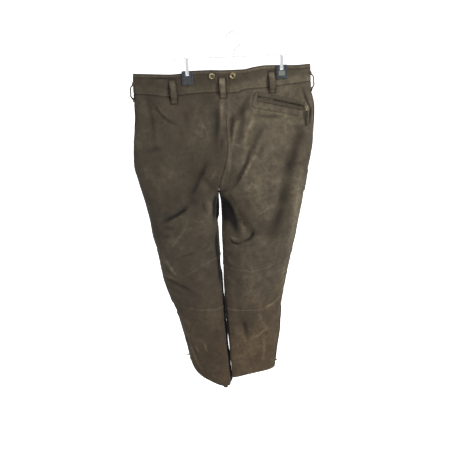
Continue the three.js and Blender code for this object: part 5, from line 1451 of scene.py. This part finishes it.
def pad_mesh(x, rise, side):
    """A clip pad: its outline in rings that round over to the outer face."""
    path = pad_outline(rise)
    along = unit(np.roll(path, -1, axis=0) - np.roll(path, 1, axis=0))
    inward = np.stack([-along[:, 1], along[:, 0]], 1)
    near, far = PINCH["y"] + GAP, PINCH["y"] + GAP + CLIP["pad"]
    rings = [(0.4, near), (0.0, near + 0.35), (0.0, far - 0.7), (0.2, far - 0.2), (0.65, far)]
    points = []
    for amount, depth in rings:
        ring = path + inward * amount
        points.append(np.stack([x + ring[:, 0], np.full(len(ring), side * depth), ring[:, 1]], 1))
    count = len(path)
    faces = []
    for r in range(0, (len(rings) - 1) * count, count):
        for k in range(count):
            m = (k + 1) % count
            quad = (r + k, r + m, r + count + m, r + count + k)
            faces.append(quad if side < 0 else quad[::-1])
    for a, b, c in tessellate_polygon([[Vector((px, pz, 0)) for px, pz in path]]):
        turned = np.cross(path[b] - path[a], path[c] - path[a]) * side < 0
        last = (a, b, c) if turned else (a, c, b)
        faces += [tuple((len(rings) - 1) * count + k for k in last), last[::-1]]
    return np.concatenate(points), faces


def soft_box(low, high, r=0.5):
    """A box with its edges cut back by r."""
    low, high = np.array(low, float), np.array(high, float)
    points, index = [], {}
    for corner in np.ndindex(2, 2, 2):
        for axis in range(3):
            p = [(high if c else low)[k] for k, c in enumerate(corner)]
            for k in range(3):
                if k != axis:
                    p[k] += -r if corner[k] else r
            index[corner, axis] = len(points)
            points.append(p)
    def at(axis, end, a, b):
        """The corner at one end of an axis, with a and b for the other two."""
        corner = [a, b]
        corner.insert(axis, end)
        return tuple(corner)
    faces = []
    for axis in range(3):
        for end in (0, 1):
            ring = tuple(index[at(axis, end, a, b), axis] for a, b in ((0, 0), (1, 0), (1, 1), (0, 1)))
            faces.append(ring if (end == 1) == (axis != 1) else ring[::-1])
    for axis in range(3):
        first, second = [k for k in range(3) if k != axis]
        for a, b in np.ndindex(2, 2):
            start, end = at(axis, 0, a, b), at(axis, 1, a, b)
            quad = (index[start, first], index[start, second], index[end, second], index[end, first])
            faces.append(quad if ((a == b) == (axis != 1)) else quad[::-1])
    for corner in np.ndindex(2, 2, 2):
        tri = tuple(index[corner, k] for k in range(3))
        faces.append(tri if sum(corner) % 2 else tri[::-1])
    return np.array(points), faces


def slabs(x, side, boxes):
    """Thin blocks on a pad's outer face; each box is x1, x2, z1, z2, how far it stands out, edge."""
    outer = PINCH["y"] + GAP + CLIP["pad"]
    parts = []
    for x1, x2, z1, z2, out, r in boxes:
        y1, y2 = sorted((side * (outer - 0.4), side * (outer + out)))
        parts.append(soft_box((x + x1, y1, z1), (x + x2, y2, z2), r))
    return merged(parts)


for name, x, rise in CLIPS:
    top, bottom = CLIP["top"] + rise, CLIP["bottom"] + rise
    floor = top - CLIP["notch_depth"]
    for face, side in (("back", -1), ("front", 1)):
        pad = make_mesh(f"pad_{face}_{name}", *pad_mesh(x, rise, side))
        finish(pad, PLASTIC, nodes=[f"hanger_pad_{face}_{name}"])
        ribs = [(at - 0.6, at + 0.6, bottom + 8, top - 3, 0.7, 0.3) for at in (-10.8, 10.8, -13.0, 13.0)]
        ribs += [(-12.5, 12.5, low, low + 1.2, 0.5, 0.3) for low in (bottom + 2.2, bottom + 4.6)]
        made = make_mesh(f"pad_ribs_{face}_{name}", *slabs(x, side, ribs), smooth_shade=False)
        finish(made, PLASTIC)
        if name == "right":
            pale = [(-9.0, 9.0, bottom + 8.5, floor - 3.5, 0.55, 0.4),
                    (-7.5, 7.5, floor - 2.6, floor - 0.8, 0.8, 0.4)]
            made = make_mesh(f"pad_panel_{face}_{name}", *slabs(x, side, pale), smooth_shade=False)
            finish(made, PALE_PLASTIC)


# ---- zip sliders and pulls, each about its joint ----
class Local:
    """A frame on the cloth: x along the slider's bar, y up the cloth and z away from it."""

    def __init__(self, joint):
        bar = Vector(joint["axis"]).normalized()
        self.z = np.array(Vector((0, 0, 1)).cross(bar).normalized())
        self.x = np.array(Vector((0, 0, 1)).cross(Vector(self.z)).normalized())
        self.y = np.array((0.0, 0.0, 1.0))
        self.origin = np.array(joint["pos_m"]) / MM - ORIGIN

    def out(self, points):
        p = np.asarray(points, float)
        return self.origin + p[..., :1] * self.x + p[..., 1:2] * self.y + p[..., 2:] * self.z


def ring_plate(length):
    """A pull: a ring about the bar and a plate that hangs from it, rounded at its end."""
    bore, width, thick = PULL["bore"], PULL["width"], PULL["plate"]
    segments = 28
    angles = np.linspace(-np.pi / 2 + 0.32, 3 * np.pi / 2 - 0.32, segments)
    circle = np.stack([0 * angles, np.sin(angles), np.cos(angles)], 1)
    points = []
    for share, inset in ((-0.5, 0.3), (-0.42, 0.06), (0.42, 0.06), (0.5, 0.3)):
        for radius in (PULL["ring"] - inset, bore + inset * 0.5):
            points.append(circle * radius + (share * width, 0, 0))
    faces = []
    loops = [k * segments for k in (0, 2, 4, 6, 7, 5, 3, 1)]
    for a, b in zip(loops, loops[1:] + loops[:1]):
        for k in range(segments - 1):
            faces.append((a + k, b + k, b + k + 1, a + k + 1))
    faces.append(tuple(loops)[::-1])
    faces.append(tuple(o + segments - 1 for o in loops))
    plate = soft_box((-width / 2, -length, -thick / 2), (width / 2, -bore - 0.2, thick / 2), 0.35)
    return merged([(np.concatenate(points), faces), plate])


def slider_mesh():
    """A slider: two plates with a wedge between them, and the bar that its pull hangs on."""
    half, wide, deep = SLIDER["length"] / 2, SLIDER["width"] / 2, -SLIDER["bar_height"]
    bar, base = SLIDER["bar"], SLIDER["base"]
    reach = half - SLIDER["inset"]
    plates = [(1, 1, 0, 0.36, 0.35), (0.86, 0.62, 0.3, 0.72, 0.2), (1, 1, 0.64, 1, 0.35)]
    parts = [
        soft_box((-half * x, -wide * y, deep + base * low), (half * x, wide * y, deep + base * high), edge)
        for x, y, low, high, edge in plates
    ]
    foot = deep + base - 0.3
    leg = [(reach - 0.8, foot), (reach - 0.7, -bar * 1.2), (reach - 1.2, -0.25), (reach - 2.2, 0.0)]
    arch = [(-x, 0, z) for x, z in leg] + [(x, 0, z) for x, z in leg[::-1]]
    return merged([*parts, tube(arch, bar * 0.9, 10)])


JOINTS = {joint["name"]: joint for joint in frame["joints"]}
# body, slider, pull, length of the pull's plate
ZIPS = [
    ("pocket_pull", "back_pocket_slider", "back_pocket_pull", 9.0),
    ("hem_pull_left", "hem_zip_slider_left", "hem_zip_pull_left", 17.0),
    ("hem_pull_right", "hem_zip_slider_right", "hem_zip_pull_right", 17.0),
]
for body, slider, pull, plate in ZIPS:
    local = Local(JOINTS[f"{body}_swing"])
    points, faces = slider_mesh()
    finish(make_mesh(f"brass_{slider}", local.out(points), faces), BRASS, nodes=[slider])
    points, faces = ring_plate(plate)
    finish(make_mesh(f"brass_{pull}", local.out(points), faces), BRASS, body, nodes=[pull])
pocket_local = Local(JOINTS["pocket_pull_swing"])


def thong_at(u, v):
    """Points and normals under the thong, which hangs in the frame of the pocket's pull."""
    down = THONG["start"] + GAP + (THONG["length"] - GAP) * v
    taper = smooth(v, THONG["head"] / THONG["length"], 1.0)
    width = THONG["top"] + (THONG["bottom"] - THONG["top"]) * taper
    points = np.stack([(u - 0.5) * width, -down, np.full(u.shape, -THONG["thickness"] / 2)], -1)
    return pocket_local.out(points), np.broadcast_to(pocket_local.z, points.shape)


leather("thong", "back_pocket_thong", thong_at, (7.0, THONG["length"]), THONG["thickness"], -0.35,
        body="pocket_pull", rows=24, round_edge=1.0)


# ---- stage, lights and camera ----
# in metres: how far the floor reaches to the front, back and sides, its height, and its curve
STAGE = dict(front=-5.0, back=2.2, wide=9.0, floor=-1.42, height=6.0, radius=1.5)
# lights: name, place, the height they aim at on the part's axis, size, power
LIGHTS = [
    ("key", (1.9, -1.9, 0.9), -0.55, 0.8, 62),
    ("fill", (-1.6, -2.4, -0.2), -0.6, 1.8, 20),
    ("top", (0.2, -0.4, 1.6), -0.5, 1.2, 16),
    ("far_side", (-0.8, 2.0, 0.6), -0.6, 1.6, 34),
]
ROOM_LIGHT = 0.22
# the camera's place in mm, its tilt and roll in degrees, its lens and sensor in mm
CAMERA = dict(at=(-44.0, -1320.0, -61.2), tilt=20.5, roll=2.4, lens=36.0, sensor=36.0, nearest_m=0.05)


def stage_mesh():
    """A pale floor that curves up into a backdrop."""
    radius, back, floor = STAGE["radius"], STAGE["back"], STAGE["floor"]
    line = [(STAGE["front"], floor), (back, floor)]
    for k in range(1, 17):
        angle = k / 16 * math.pi / 2
        line.append((back + radius * math.sin(angle), floor + radius * (1 - math.cos(angle))))
    line.append((back + radius, STAGE["height"]))
    points = [(side * STAGE["wide"], y, z) for side in (-1, 1) for y, z in line]
    count = len(line)
    mesh = bpy.data.meshes.new("floor")
    mesh.from_pydata(points, [], [(k, k + 1, count + k + 1, count + k) for k in range(count - 1)])
    mesh.shade_smooth()
    mesh.materials.append(Shader("pale_paper").set(
        Base_Color=(0.9, 0.9, 0.9, 1), Roughness=1.0, Emission_Color=(1, 1, 1, 1), Emission_Strength=1.0))
    made = link("floor", mesh)
    made.visible_diffuse = False


def area_light(name, spot, aim, size, power):
    light = bpy.data.lights.new(name, "AREA")
    light.shape = "DISK"
    light.size = size
    light.energy = power
    made = link(name, light)
    made.location = spot
    made.rotation_mode = "QUATERNION"
    made.rotation_quaternion = (Vector((0, 0, aim)) - Vector(spot)).to_track_quat("-Z", "Y")


scene = bpy.context.scene
stage_mesh()
for light in LIGHTS:
    area_light(*light)
room = bpy.data.worlds.new("room")
room.use_nodes = True
room.node_tree.nodes["Background"].inputs["Color"].default_value = (1, 1, 1, 1)
room.node_tree.nodes["Background"].inputs["Strength"].default_value = ROOM_LIGHT
scene.world = room
scene.view_settings.view_transform = "Standard"

camera_data = bpy.data.cameras.new("camera")
camera_data.lens = CAMERA["lens"]
camera_data.sensor_width = CAMERA["sensor"]
camera_data.clip_start = CAMERA["nearest_m"]
camera = link("camera", camera_data)
tilt, roll = math.radians(CAMERA["tilt"]), math.radians(CAMERA["roll"])
forward = Vector((0, math.cos(tilt), -math.sin(tilt)))
level_up = Vector((0, math.sin(tilt), math.cos(tilt)))
level_right = Vector((1, 0, 0))
right = level_right * math.cos(roll) - level_up * math.sin(roll)
up = level_right * math.sin(roll) + level_up * math.cos(roll)
turned = Matrix((right, up, -forward)).transposed().to_4x4()
camera.matrix_world = Matrix.Translation(Vector(CAMERA["at"]) * MM) @ turned
scene.camera = camera
